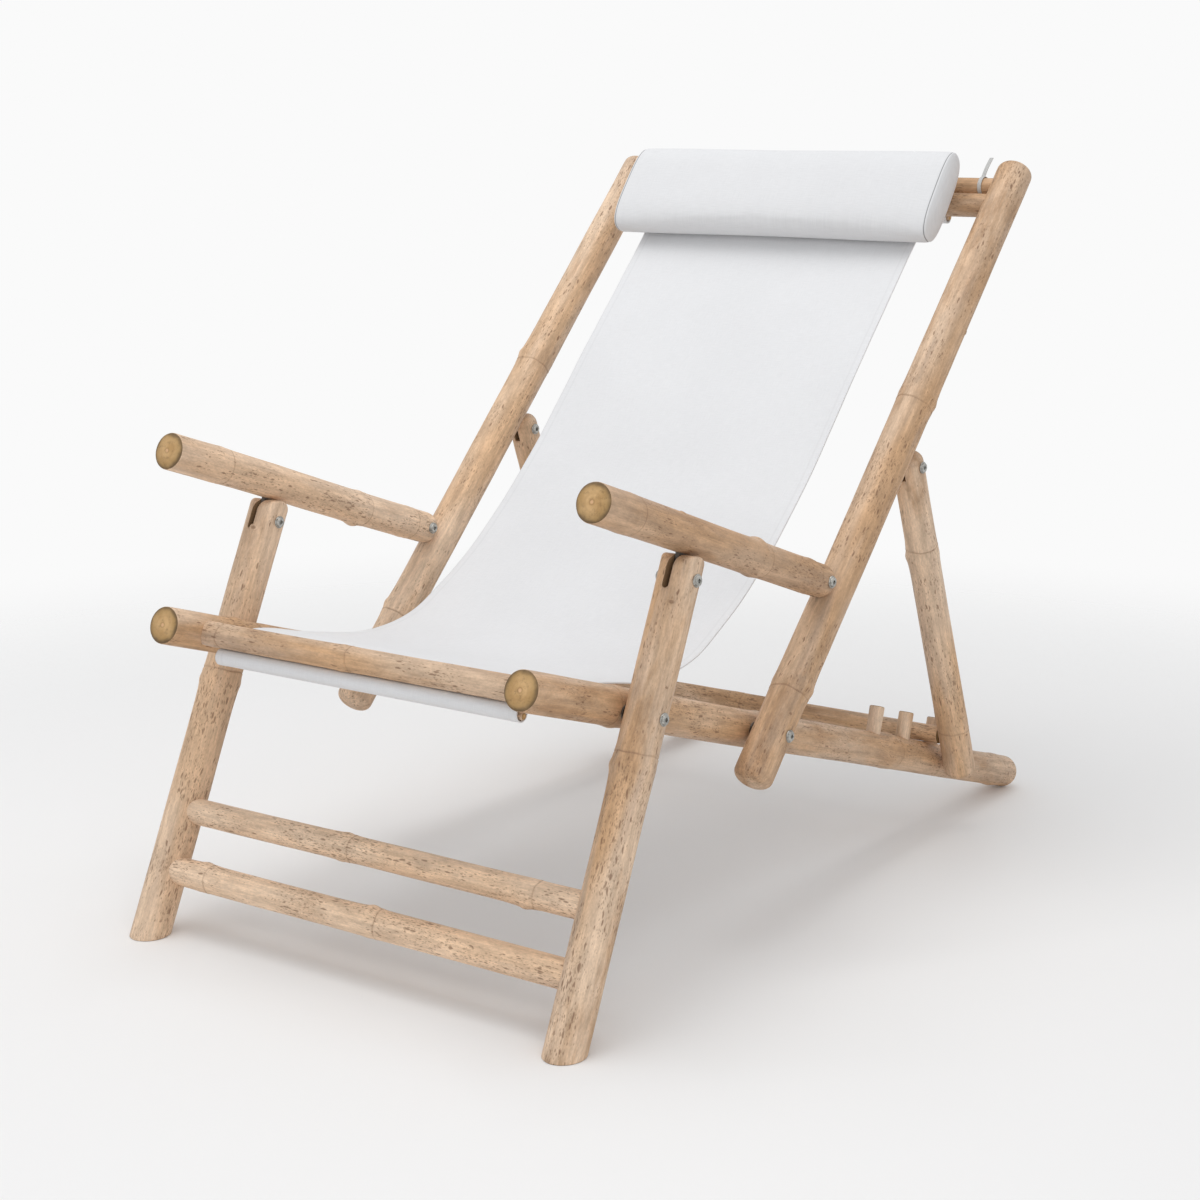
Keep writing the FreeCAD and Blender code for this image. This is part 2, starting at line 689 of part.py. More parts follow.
# Ties: a tape round the top bar at each end of the pillow.
ties = []
for side, way in SIDES.items():
    start = way * (pillow_half + (size("PillowSideGap") - size("TieWidth")) / 2)
    ring = pin("tie_%s_band" % side, "TopBarDiameter", start, start + way * size("TieWidth"),
               top_bar_centre, size("TieThickness") + fit)
    hole = rod("tie_%s_hole" % side, "TopBarDiameter", pole_bar_half, top_bar_centre, fit)
    ties.append(less("tie_" + side, ring, [hole]))
node(group("pillow_ties", ties), "pillow_ties")

doc.recompute()

# Every object has to come out sound before the solids are written.
failed = [item.Name for item in doc.Objects
          if {"Invalid", "Error"} & set(item.State)]
if failed:
    raise RuntimeError("failed objects: %s" % failed)
os.makedirs("parts", exist_ok=True)
for item in nodes:
    if item.Shape.isNull() or not item.Shape.isValid():
        raise RuntimeError("bad shape: %s" % item.Label)
    item.Shape.exportStep("parts/%s.step" % item.Label)
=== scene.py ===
"""Looks of the bamboo folding recliner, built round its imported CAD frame.

Metres, +Z up, the sitter looks along -Y. Named sizes are real ones, in millimetres unless
they say otherwise.
"""
from collections import namedtuple
import json
import math

import bmesh
import bpy
from mathutils import Matrix, Vector, noise


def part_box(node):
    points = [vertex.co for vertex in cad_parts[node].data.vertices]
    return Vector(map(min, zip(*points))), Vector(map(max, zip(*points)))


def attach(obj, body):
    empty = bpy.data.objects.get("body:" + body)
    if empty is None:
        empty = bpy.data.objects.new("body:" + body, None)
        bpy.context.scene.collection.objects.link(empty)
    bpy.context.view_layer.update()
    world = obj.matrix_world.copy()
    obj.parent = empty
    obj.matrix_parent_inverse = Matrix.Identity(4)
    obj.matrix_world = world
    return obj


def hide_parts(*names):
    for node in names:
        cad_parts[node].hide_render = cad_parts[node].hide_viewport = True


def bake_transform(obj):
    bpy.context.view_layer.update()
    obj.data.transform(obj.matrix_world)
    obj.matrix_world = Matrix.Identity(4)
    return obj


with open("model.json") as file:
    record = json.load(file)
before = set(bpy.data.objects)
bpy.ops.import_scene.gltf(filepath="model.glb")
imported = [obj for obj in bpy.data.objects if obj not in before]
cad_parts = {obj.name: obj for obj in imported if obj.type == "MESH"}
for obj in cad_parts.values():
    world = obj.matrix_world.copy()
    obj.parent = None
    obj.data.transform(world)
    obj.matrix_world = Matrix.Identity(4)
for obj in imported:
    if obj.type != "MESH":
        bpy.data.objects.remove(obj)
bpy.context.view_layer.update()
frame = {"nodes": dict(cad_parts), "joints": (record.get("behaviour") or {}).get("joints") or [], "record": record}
MM = 0.001


def heading(degrees):
    """Unit vector in the side view, turned up from the rearward horizontal."""
    return Vector((0, math.cos(math.radians(degrees)), math.sin(math.radians(degrees))))


def left_of(way):
    """The direction to the left of another in the side view."""
    return Vector((0, -way.z, way.y))


def srgb(red, green, blue):
    """A screen colour, 0 to 255, as a linear one."""
    return tuple(((c / 255 + 0.055) / 1.055) ** 2.4 for c in (red, green, blue)) + (1,)


def middle(node):
    low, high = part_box(node)
    return (low + high) / 2


def add_object(name, data):
    item = bpy.data.objects.new(name, data)
    bpy.context.scene.collection.objects.link(item)
    return item


# Camera: the photograph's view, its axis above the middle of the picture.
CAMERA_PLACE = Vector((1.5174, -2.2063, 0.9025))
CAMERA_TURN = 35.31
CAMERA_DOWN = 8.46
CAMERA_LENS = 68.06
CAMERA_SHIFT_Y = -0.125
camera_data = bpy.data.cameras.new("camera")
camera_data.sensor_width = 36
camera_data.lens = CAMERA_LENS
camera_data.shift_y = CAMERA_SHIFT_Y
camera = add_object("camera", camera_data)
camera.location = CAMERA_PLACE
camera.rotation_euler = (math.radians(90 - CAMERA_DOWN), 0, math.radians(CAMERA_TURN))
bpy.context.scene.camera = camera
bpy.context.scene.view_settings.view_transform = "Standard"


# Materials.
class Graph:
    """The node tree of a material or a world, with short calls."""

    def __init__(self, name, kind="materials"):
        self.owner = getattr(bpy.data, kind).new(name)
        self.owner.use_nodes = True
        self.tree = self.owner.node_tree
        self.shader = self.tree.nodes.get("Principled BSDF")

    def put(self, socket, value):
        if isinstance(value, bpy.types.NodeSocket):
            self.tree.links.new(value, socket)
        else:
            socket.default_value = value

    def node(self, kind, inputs, **settings):
        node = self.tree.nodes.new("ShaderNode" + kind)
        for key, value in settings.items():
            setattr(node, key, value)
        for key, value in inputs.items():
            self.put(node.inputs[key], value)
        return node.outputs

    def add(self, kind, inputs, output=0, **settings):
        return self.node(kind, inputs, **settings)[output]

    def place(self):
        return self.add("TexCoord", {}, "Object")

    def grain(self):
        """A culm's own coordinates, kept on its points, with z along it."""
        return self.add("Attribute", {}, "Vector", attribute_name="grain")

    def scaled(self, vector, x, y, z):
        return self.add("Mapping", {"Vector": vector, "Scale": (x, y, z)})

    def noise(self, vector, scale, detail=2.0, rough=0.5):
        return self.add("TexNoise", {"Vector": vector, "Scale": scale, "Detail": detail,
                                     "Roughness": rough}, "Fac")

    def drawn(self, vector, along, *rest):
        """Noise drawn out along z, the more so the smaller along is."""
        return self.noise(self.scaled(vector, 1, 1, along), *rest)

    def ramp(self, value, low, high, to_low=0.0, to_high=1.0):
        return self.add("MapRange", {"Value": value, "From Min": low, "From Max": high,
                                     "To Min": to_low, "To Max": to_high},
                        interpolation_type="SMOOTHSTEP")

    def math(self, operation, first, second=0.0):
        return self.add("Math", {0: first, 1: second}, operation=operation)

    def times(self, first, second):
        return self.math("MULTIPLY", first, second)

    def mix(self, factor, first, second, blend="MIX"):
        return self.add("Mix", {0: factor, 6: first, 7: second}, 2, data_type="RGBA",
                        blend_type=blend)

    def tinted(self, colour, mask, share, other):
        """A colour turned towards another by a share, where the mask is 1."""
        return self.mix(self.times(mask, share), colour, other)

    def shaded(self, colour, shade):
        grey = self.add("CombineColor", {0: shade, 1: shade, 2: shade})
        return self.mix(1.0, colour, grey, "MULTIPLY")

    def attribute(self, name):
        return self.add("Attribute", {}, "Fac", attribute_name=name)

    def give(self, name, value):
        """Set or link one of the shader's own sockets."""
        self.put(self.shader.inputs[name], value)

    def surface(self, colour, rough, specular=0.5):
        self.give("Base Color", colour)
        self.give("Roughness", rough)
        self.give("Specular IOR Level", specular)

    def bump(self, height, distance, strength):
        self.give("Normal", self.add("Bump", {"Height": height, "Distance": distance,
                                              "Strength": strength}))


# Colours of the bamboo's skin, its sawn ends and its hollows.
PALE = srgb(224, 196, 168)
ORANGE = srgb(208, 168, 128)
GREYISH = srgb(196, 170, 147)
BROWN = srgb(178, 140, 104)
WARM = srgb(200, 158, 120)
DASH = srgb(112, 80, 58)
RING_LINE = srgb(124, 94, 72)
SCAR = srgb(122, 90, 66)
END_LIGHT = srgb(210, 172, 122)
END_DARK = srgb(186, 148, 98)
END_OLIVE = srgb(158, 128, 82)
END_LINE = srgb(138, 104, 66)
END_BLOTCH = srgb(112, 88, 58)
END_RIM = srgb(92, 74, 52)
PITH = srgb(222, 178, 138)
PITH_EDGE = srgb(128, 92, 56)
INNER_DARK = srgb(122, 94, 66)
INNER_LIGHT = srgb(168, 134, 98)
# Dark marks: cells per metre across and along the culm, size and soft edge in cells, share of
# the cells that hold one, and depth.
DASH_LAYERS = ((250, 60, 0.32, 0.16, 1.2, 0.66), (430, 120, 0.36, 0.2, 1.35, 0.55),
               (620, 210, 0.38, 0.22, 1.3, 0.45), (130, 42, 0.25, 0.12, 0.45, 0.7))
# Metres: how far noise bends the marks, and the depth of the skin's relief.
DASH_BEND = (0.0035, 0.0035, 0.006)
SKIN_RELIEF = 0.0004


def bamboo_material():
    g = Graph("bamboo")
    place = g.grain()
    along = g.scaled(place, 1, 1, 0.2)
    colour = g.mix(g.ramp(g.noise(along, 17, 2), 0.38, 0.62), PALE, ORANGE)
    grey = g.ramp(g.drawn(place, 0.12, 38, 3, 0.6), 0.46, 0.7, 0, 0.8)
    colour = g.mix(grey, colour, GREYISH)
    brown = g.ramp(g.noise(g.scaled(place, 1.3, 1, 0.3), 24, 4, 0.65), 0.48, 0.72, 0, 0.85)
    colour = g.mix(brown, colour, BROWN)
    # Each culm's tone is partly its own colour and partly painted light: lower on culms that face up into the
    # light, higher on the far side's culms and the rungs, which lie in shade. Low tones also turn warmer, high
    # ones paler.
    tone = g.attribute("tone")
    colour = g.mix(g.ramp(tone, 1.0, 0.82, 0, 0.6), colour, WARM)
    colour = g.mix(g.ramp(tone, 1.0, 1.12, 0, 0.6), colour, PALE)
    mottle = g.ramp(g.drawn(place, 0.3, 130, 3, 0.6), 0.3, 0.7, 0.87, 1.08)
    streak = g.ramp(g.drawn(place, 0.07, 120, 4, 0.75), 0.3, 0.7, 0.84, 1.1)
    grit = g.ramp(g.drawn(place, 0.4, 560, 3, 0.7), 0.3, 0.7, 0.9, 1.09)
    fibre = g.ramp(g.drawn(place, 0.02, 480, 2, 0.6), 0.25, 0.75, 0.92, 1.05)
    shade = g.times(g.times(g.times(streak, mottle), g.times(fibre, grit)), tone)
    colour = g.shaded(colour, shade)

    warp = g.add("TexNoise", {"Vector": place, "Scale": 90.0, "Detail": 1.0}, "Color")
    shift = g.add("VectorMath", {0: warp, 1: DASH_BEND}, operation="MULTIPLY")
    bent = g.add("VectorMath", {0: place, 1: shift}, operation="ADD")
    cluster = g.ramp(g.drawn(place, 0.5, 30, 2), 0.34, 0.66)
    cluster = g.times(cluster, g.attribute("speckle"))

    def dashes(across, up, size, softness, share):
        """Marks drawn out along the culm, in the cells a random value picks."""
        vector = g.scaled(bent, across, across, up)
        cell = g.node("TexVoronoi", {"Vector": vector, "Scale": 1.0})
        chance = g.add("SeparateColor", {0: cell["Color"]})
        picked = g.ramp(g.math("SUBTRACT", g.times(cluster, share), chance), 0, 0.12)
        gap = g.math("SUBTRACT", g.times(picked, size), cell["Distance"])
        return g.ramp(gap, 0, softness)

    dark = 0.0
    for *layer, depth in DASH_LAYERS:
        dark = g.math("MAXIMUM", dark, g.times(dashes(*layer), depth))
    smudge = g.ramp(g.drawn(bent, 0.4, 110, 4, 0.75), 0.56, 0.72, 0, 0.4)
    colour = g.tinted(colour, smudge, cluster, DASH)
    colour = g.mix(dark, colour, DASH)
    colour = g.tinted(colour, g.attribute("ring"), 0.55, RING_LINE)
    colour = g.tinted(colour, g.attribute("scar"), 0.6, SCAR)
    rough = g.ramp(g.noise(along, 60, 3), 0.3, 0.7, 0.5, 0.66)
    g.surface(colour, g.math("ADD", rough, g.times(dark, 0.15)), 0.35)
    g.bump(g.math("SUBTRACT", g.times(shade, 0.6), dark), SKIN_RELIEF, 0.7)
    return g.owner


def end_material():
    g = Graph("bamboo_end")
    place = g.grain()
    pith = g.attribute("rho")
    wobble = g.times(g.math("SUBTRACT", g.noise(place, 75, 3), 0.5), 0.42)
    radial = g.math("ADD", pith, wobble)
    colour = g.mix(g.ramp(g.noise(place, 55, 3), 0.35, 0.65), END_LIGHT, END_DARK)
    colour = g.tinted(colour, g.ramp(radial, 0.35, 0.85), 0.55, END_OLIVE)
    line = g.times(g.ramp(radial, 0.36, 0.44), g.ramp(radial, 0.54, 0.46))
    colour = g.tinted(colour, line, 0.16, END_LINE)
    halo = g.times(g.ramp(pith, 0.2, 0.13), g.ramp(pith, 0.08, 0.12))
    colour = g.tinted(colour, halo, 0.35, PITH_EDGE)
    colour = g.mix(g.ramp(pith, 0.12, 0.05, 0, 0.75), colour, PITH)
    colour = g.tinted(colour, g.ramp(radial, 0.72, 0.98), 0.85, END_RIM)
    blotch = g.ramp(g.noise(place, 160, 4, 0.7), 0.5, 0.74, 0, 0.5)
    colour = g.mix(blotch, colour, END_BLOTCH)
    pore = g.add("TexVoronoi", {"Vector": place, "Scale": 420.0}, "Distance")
    pores = g.times(g.ramp(pore, 0.2, 0.1), g.ramp(g.noise(place, 120, 1), 0.5, 0.62))
    g.surface(g.tinted(colour, pores, 0.45, END_RIM),
              g.ramp(g.noise(place, 200, 2), 0.3, 0.7, 0.5, 0.7), 0.3)
    g.bump(g.math("SUBTRACT", g.noise(place, 700, 2), pores), 0.0003, 0.6)
    return g.owner


def inner_material():
    g = Graph("bamboo_inner")
    fibre = g.drawn(g.grain(), 0.05, 300, 3, 0.6)
    g.surface(g.mix(fibre, INNER_DARK, INNER_LIGHT), g.ramp(fibre, 0.2, 0.8, 0.7, 0.9))
    g.bump(fibre, 0.0005, 0.7)
    return g.owner


# Slubs per metre along and across a thread.
SLUBS_ALONG, SLUBS_ACROSS = 70.0, 1400.0


def weave(g, first, second, pitch, depth):
    """Threads of both ways with slubs, from two coordinates in metres."""
    def threads(a, b):
        vector = g.add("CombineXYZ", {0: g.times(a, SLUBS_ALONG), 1: g.times(b, SLUBS_ACROSS)})
        return g.noise(vector, 1.0, 2, 0.5)

    def wave(a):
        return g.math("SINE", g.times(a, math.tau / pitch))

    slub = g.math("ADD", threads(first, second), threads(second, first))
    grid = g.times(wave(first), wave(second))
    g.bump(g.math("ADD", g.times(grid, 0.5), slub), depth, 0.8)
    return g.ramp(slub, 0.7, 1.3, 0.965, 1.02)


def cloth_material(name, colour, flat_map, pitch, depth, seam_shade=0.05):
    """Woven cloth; pitch and depth of the weave in metres, flat_map for cloth with a flat cut."""
    g = Graph(name)
    vector = g.add("TexCoord", {}, "UV") if flat_map else g.place()
    parts = g.node("SeparateXYZ", {0: vector})
    tone = weave(g, parts[0], parts[1], pitch, depth)
    tone = g.times(tone, g.ramp(g.noise(vector, 7, 2), 0.3, 0.7, 0.985, 1.01))
    # Darker along the marked seam lines: a faint stitch line on the canvas, and on the pillow painted shade in the
    # groove of each end seam.
    tone = g.math("SUBTRACT", tone, g.times(g.attribute("stitch_and_shade"), seam_shade))
    g.surface(g.shaded(colour, tone), g.ramp(tone, 0.9, 1.05, 0.9, 0.82), 0.2)
    g.give("Sheen Weight", 0.12)
    g.give("Sheen Roughness", 0.5)
    return g.owner


def steel_material(name, dark, light):
    """Galvanised steel with its spangle."""
    g = Graph(name)
    place = g.place()
    spangle = g.add("TexVoronoi", {"Vector": place, "Scale": 420.0}, "Color")
    grain = g.noise(place, 900, 2)
    cells = g.times(g.add("SeparateColor", {0: spangle}), 0.5)
    tone = g.ramp(g.math("ADD", g.times(grain, 0.5), cells), 0.2, 0.8)
    g.surface(g.mix(tone, dark, light), g.ramp(tone, 0, 1, 0.38, 0.55))
    g.give("Metallic", 0.75)
    g.bump(grain, 0.00008, 0.5)
    return g.owner


CULM_MATERIALS = (bamboo_material(), end_material(), inner_material())
SKIN, END_GRAIN, HOLLOW = range(3)
CANVAS = cloth_material("canvas", srgb(230, 230, 231), True, 0.0011, 0.00022)
# The pillow's seams are darkened hard: painted shade in their grooves.
PILLOW = cloth_material("pillow_cotton", srgb(223, 223, 224), False, 0.0009, 0.00016,
                        seam_shade=0.75)
TAPE = cloth_material("tape", srgb(196, 196, 194), True, 0.0008, 0.0002)
STEEL = steel_material("steel", srgb(146, 145, 140), srgb(190, 189, 184))
# Darkened steel as painted shade: the washers and tongues take it so that they read as the shadow in the joints.
STEEL_PAINTED_SHADE = steel_material("steel_painted_shade", srgb(74, 68, 62), srgb(98, 92, 86))


# Mesh helpers.
def mesh_object(name, points, faces, materials, indices=None, smooth=True):
    mesh = bpy.data.meshes.new(name)
    mesh.from_pydata([tuple(p) for p in points], [], faces)
    for material in materials:
        mesh.materials.append(material)
    if indices:
        mesh.polygons.foreach_set("material_index", indices)
    mesh.polygons.foreach_set("use_smooth", [smooth] * len(mesh.polygons))
    mesh.update()
    return add_object(name, mesh)


def paint(item, name, values, kind="FLOAT", field="value"):
    attribute = item.data.attributes.new(name, kind, "POINT")
    attribute.data.foreach_set(field, values)


def set_cloth_map(item, places):
    """A map of the flat cloth in metres, from each point's place on it."""
    layer = item.data.uv_layers.new(name="cloth")
    for loop in item.data.loops:
        layer.data[loop.index].uv = places[loop.vertex_index]


def join_rings(faces, first, second, count, flip=False):
    """Quads from one closed ring of points to the next."""
    for k in range(count):
        a, b = first + k, first + (k + 1) % count
        c, d = second + k, second + (k + 1) % count
        faces.append((b, a, c, d) if flip else (a, b, d, c))


def close_ring(faces, ring, tip, count, flip):
    """Triangles from a ring of points to a single one."""
    for k in range(count):
        a, b = ring + k, ring + (k + 1) % count
        faces.append((b, a, tip) if flip else (a, b, tip))


def turn_outward(item):
    mesh = bmesh.new()
    mesh.from_mesh(item.data)
    bmesh.ops.recalc_face_normals(mesh, faces=mesh.faces)
    mesh.to_mesh(item.data)
    mesh.free()


def evaluated_mesh(item):
    """The item's mesh with its modifiers, which are then taken off."""
    done = item.evaluated_get(bpy.context.evaluated_depsgraph_get())
    mesh = bpy.data.meshes.new_from_object(done)
    item.modifiers.clear()
    return mesh


# Culms.
AROUND = 48
END_SPREAD = (0.995, 0.975, 0.94, 0.88, 0.79, 0.67, 0.52, 0.36, 0.2, 0.08)
EDGE_SPREAD = (0.93, 0.72, 0.4, 0.0)
FLAT_SPREAD = (0.84, 0.68, 0.52, 0.36, 0.2, 0.08)
# Rows of points near a node, in millimetres from its line.
NODE_ROWS = (-46, -38, -31, -26, -22, -19, -16.5, -14.5, -12.5, -10.5, -8, -5.5, -3.5,
             -2.2, -1.3, -0.6, 0, 0.6, 1.3, 2.4, 4.5, 8, 14, 22)
ROW_STEP = 14.0
END_ROWS = (2.0, 5.0, 9.0)
# Over this length a culm's rows turn from square to the shape of its end.
END_REACH = 45.0
# The wave of a culm's bow, and how many metres along its grain each seed starts.
BOW_WAVE = 260
SEED_STEP = 1.37
# Rings of a branch scar: reach and height in shares of its size, and how dark.
SCAR_PROFILE = ((0.0, 0.15, 1.0), (0.35, 0.1, 1.0), (0.55, 0.7, 0.5), (0.75, 0.75, 0.0),
                (1.0, 0.2, 0.0), (1.25, -0.25, 0.0))
SCAR_AROUND = 14
# A bamboo node: millimetres along the culm, swelling, the way it faces, bump and tilt.
Ring = namedtuple("Ring", "along swell way bump tilt", defaults=(0.0, 1.0))


def wander(seed, value):
    """Smooth random value from -1 to 1."""
    return noise.noise(Vector((value, seed * 3.17 + 0.5, seed * 1.31)))


def hill(value, centre, width):
    """A smooth rise to 1 at a centre."""
    return math.exp(-((value - centre) / width) ** 2)


def end_depth(kind, x, y, rho, radius):
    """How far an end's surface stands past its reference plane at a point of the section."""
    shape = kind[0]
    if shape == "flat":
        return -kind[1] * rho ** 2
    if shape == "round":
        rise, power = kind[1], kind[2]
        return rise * max(0.0, 1 - rho ** power) ** (1 / power) - rise
    if shape == "saddle":
        reach = kind[1]
        return math.sqrt(max(reach ** 2 - y ** 2, 1)) - reach
    return y * kind[1]


def edge_round(kind):
    return {"flat": 1.6, "round": 0.0, "saddle": 3.0, "floor": 1.4}[kind[0]]


def culm(node, body, start, stop, radius, *, ends, seed, speckle, rings=(), shave=0, taper=0.0,
         bow=1.0, tone=1.0, scars=(), cuts=(), around=AROUND, suffix="_culm"):
    """A node's bamboo culm between two points, shaped in its own frame with z along it."""
    axis = stop - start
    length = axis.length / MM
    axis.normalize()
    side = Vector((1, 0, 0)) if abs(axis.x) < 0.5 else Vector((0, 1, 0))
    up = axis.cross(side)
    offset = seed * SEED_STEP
    turn = Matrix((side, up, axis)).transposed().to_4x4()
    matrix = Matrix.Translation(start - axis * offset) @ turn
    to_grain = matrix.inverted()

    rows = {0.0, length}
    count = max(2, round(length / ROW_STEP))
    rows |= {length * k / count for k in range(count + 1)}
    near_end = [s for s in END_ROWS if s < length / 3]
    rows |= {*near_end, *(length - s for s in near_end)}
    for ring in rings:
        near = [ring.along + ring.way * d for d in NODE_ROWS]
        low, high = min(near), max(near)
        rows = {z for z in rows if not low - 4 < z < high + 4 or z in (0.0, length)}
        rows |= {z for z in near if 1 < z < length - 1}
    rows = sorted(rows)

    def centre(z):
        t = z / BOW_WAVE
        return (bow * 0.35 * wander(seed + 11, t), bow * 1.2 * wander(seed + 23, t))

    def surface(z, angle):
        """Section radius and shifted height at one angle."""
        r = radius * (1 + taper * (z / length - 0.5))
        r *= 1 + 0.012 * wander(seed, z / 90) + 0.008 * math.cos(2 * angle + seed + z / 400)
        r += 0.18 * wander(seed + 5 + round(math.cos(angle) * 3), z / 30)
        shift = 0.0
        for ring in rings:
            d = (z - ring.along) * ring.way
            fall = hill(z, ring.along, 24)
            shift += fall * ring.tilt * (1.6 * math.sin(angle + seed * 2.1 + ring.along)
                                         + 0.5 * math.sin(3 * angle + ring.along)
                                         + 0.3 * math.sin(7 * angle + seed))
            uneven = 0.75 + 0.45 * math.sin(angle + ring.along * 0.7 + seed)
            uneven += 0.15 * math.sin(3 * angle + seed)
            if d < 0:
                r += ring.swell * uneven * (0.65 * hill(d, -12.5, 5.5) + 0.4 * hill(d, -15, 17))
                r += ring.swell * 0.1 * hill(d, -3, 3)
            else:
                r += ring.swell * uneven * 0.28 * hill(d, 0, 6)
            r += ring.bump * hill(d, -12.5, 4)
            r += 0.28 * hill(d, -1.6, 0.8) - 0.38 * hill(d, 0, 0.8)
        return r, shift

    def at(z, angle, height=0.0):
        r, shift = surface(z, angle)
        r += height
        cx, cy = centre(z)
        x, y = cx + r * math.cos(angle), cy + r * math.sin(angle)
        if shave:
            limit = radius + 0.55
            x = min(x, limit) if shave > 0 else max(x, -limit)
        return x, y, z + shift

    points, ring_mark, rho_mark = [], [], []

    def density(z):
        value = speckle[0][1]
        for (z0, v0), (z1, v1) in zip(speckle, speckle[1:]):
            if z > z0:
                value = v0 + (v1 - v0) * min(1.0, (z - z0) / (z1 - z0))
        return value

    def raised(which, depth):
        """The height that stands a depth out from either end."""
        return length + depth if which else -depth

    def add(x, y, z, ring_value, rho):
        points.append(Vector((x * MM, y * MM, z * MM + offset)))
        ring_mark.append(ring_value)
        rho_mark.append(rho)

    angles = [math.tau * k / around for k in range(around)]
    walls = [[raised(which, end_depth(kind, *at(length * which, angle)[:2], 1.0, radius)
                     - edge_round(kind)) for angle in angles]
             for which, kind in enumerate(ends)]

    for z in rows:
        mark = max([hill(z, ring.along, 0.9) for ring in rings], default=0.0)
        for k, angle in enumerate(angles):
            x, y, height = at(z, angle)
            if z < END_REACH:
                height += walls[0][k] * (1 - z / END_REACH)
            if z > length - END_REACH:
                height += (walls[1][k] - length) * (1 - (length - z) / END_REACH)
            broken = 0.75 + 0.25 * math.sin(2 * angle + seed + z)
            add(x, y, height, mark * broken, 1.0)

    faces = []
    for row in range(len(rows) - 1):
        join_rings(faces, row * around, (row + 1) * around, around)
    kinds = [SKIN] * len(faces)

    for which, kind in enumerate(ends):
        rim = (len(rows) - 1) * around * which
        cx, cy = centre(length * which)
        edge = edge_round(kind)
        sawn = kind[0] in ("flat", "floor")
        if edge:
            spread = [1 - edge / radius * (1 - s) for s in EDGE_SPREAD] + list(FLAT_SPREAD)
        else:
            spread = END_SPREAD
        last = rim
        for rho in spread:
            first = len(points)
            t = max(0.0, (rho - (1 - edge / radius)) / (edge / radius)) if edge else 0.0
            drop = edge * (1 - math.sqrt(max(0.0, 1 - t * t)))
            for k in range(around):
                px, py = points[rim + k].x / MM, points[rim + k].y / MM
                x, y = cx + (px - cx) * rho, cy + (py - cy) * rho
                mark = 0.35 * hill(rho, 0.975, 0.02) if kind[0] == "round" else 0.0
                add(x, y, raised(which, end_depth(kind, x, y, rho, radius) - drop), mark, rho)
            join_rings(faces, last, first, around, which == 0)
            kinds += [END_GRAIN if sawn and rho < 1 - 0.5 * edge / radius else SKIN] * around
            last = first
        close_ring(faces, last, len(points), around, which == 0)
        add(cx, cy, raised(which, end_depth(kind, cx, cy, 0.0, radius)), 0.0, 0.0)
        kinds += [END_GRAIN if sawn else SKIN] * around

    item = mesh_object(node + suffix, [matrix @ p for p in points], faces, CULM_MATERIALS,
                       kinds)
    paint(item, "ring", ring_mark)
    paint(item, "rho", rho_mark)
    for cutter in cuts:
        carve(item, cutter)
    add_scars(item, scars, radius, lambda *spot: matrix @ (Vector(at(*spot)) * MM
                                                          + Vector((0, 0, offset))))
    grain = [to_grain @ v.co for v in item.data.vertices]
    paint(item, "speckle", [density((p.z - offset) / MM) for p in grain])
    paint(item, "tone", [tone] * len(grain))
    paint(item, "grain", [c for p in grain for c in p], "FLOAT_VECTOR", "vector")
    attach(item, body)
    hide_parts(node)


def add_scars(item, scars, radius, spot):
    """Branch scars on a culm: a low rim with a darker hollow."""
    mesh = bmesh.new()
    mesh.from_mesh(item.data)
    dark = mesh.verts.layers.float.new("scar")
    for along, degrees, wide in scars:
        last = []
        for reach, height, mark in SCAR_PROFILE:
            level = []
            for k in range(SCAR_AROUND):
                phi = math.tau * k / SCAR_AROUND
                angle = math.radians(degrees) + wide * reach * math.cos(phi) / radius
                vert = mesh.verts.new(spot(along + wide * reach * 0.75 * math.sin(phi), angle,
                                           height * wide / 4))
                vert[dark] = mark
                level.append(vert)
            for k in range(SCAR_AROUND if last else 0):
                after = (k + 1) % SCAR_AROUND
                face = mesh.faces.new((last[k], level[k], level[after], last[after]))
                face.smooth = True
            last = level
    mesh.to_mesh(item.data)
    mesh.free()


def prism(first, second):
    """A cutter between two equal outlines of points."""
    n = len(first)
    faces = [tuple(range(n)), tuple(range(2 * n - 1, n - 1, -1))]
    faces += [(k, k + n, (k + 1) % n + n, (k + 1) % n) for k in range(n)]
    cutter = mesh_object("cutter", first + second, faces, CULM_MATERIALS,
                         [HOLLOW] * len(faces), smooth=False)
    turn_outward(cutter)
    return cutter


def slot_cutter(point, along, thickness, depth, wide, high):
    """A slot's space: a plate square to x, from its round bottom along a direction."""
    aside = along.cross(Vector((1, 0, 0)))
    half = thickness / 2
    outline = [(-half, high), (-half, -depth + half)]
    for step in range(1, 8):
        angle = math.pi + math.pi * step / 8
        outline.append((math.cos(angle) * half, -depth + half + math.sin(angle) * half))
    outline += [(half, -depth + half), (half, high)]
    return prism(*([point + Vector((x, 0, 0)) + along * up + aside * way for x, up in outline]
                   for way in (-wide, wide)))


def box_cutter(corner, along, reach, depth, thickness):
    """A plate square to x, from a corner along a direction and to its left."""
    left = left_of(along)
    return prism(*([corner + Vector((x, 0, 0)) + along * a + left * b
                    for a, b in ((0, 0), (reach, 0), (reach, depth), (0, depth))]
                   for x in (-thickness / 2, thickness / 2)))


def carve(item, cutter):
    modifier = item.modifiers.new("slot", "BOOLEAN")
    modifier.object = cutter
    modifier.operation = "DIFFERENCE"
    modifier.solver = "EXACT"
    bpy.context.view_layer.update()
    item.data = evaluated_mesh(item)
    bpy.data.objects.remove(cutter)


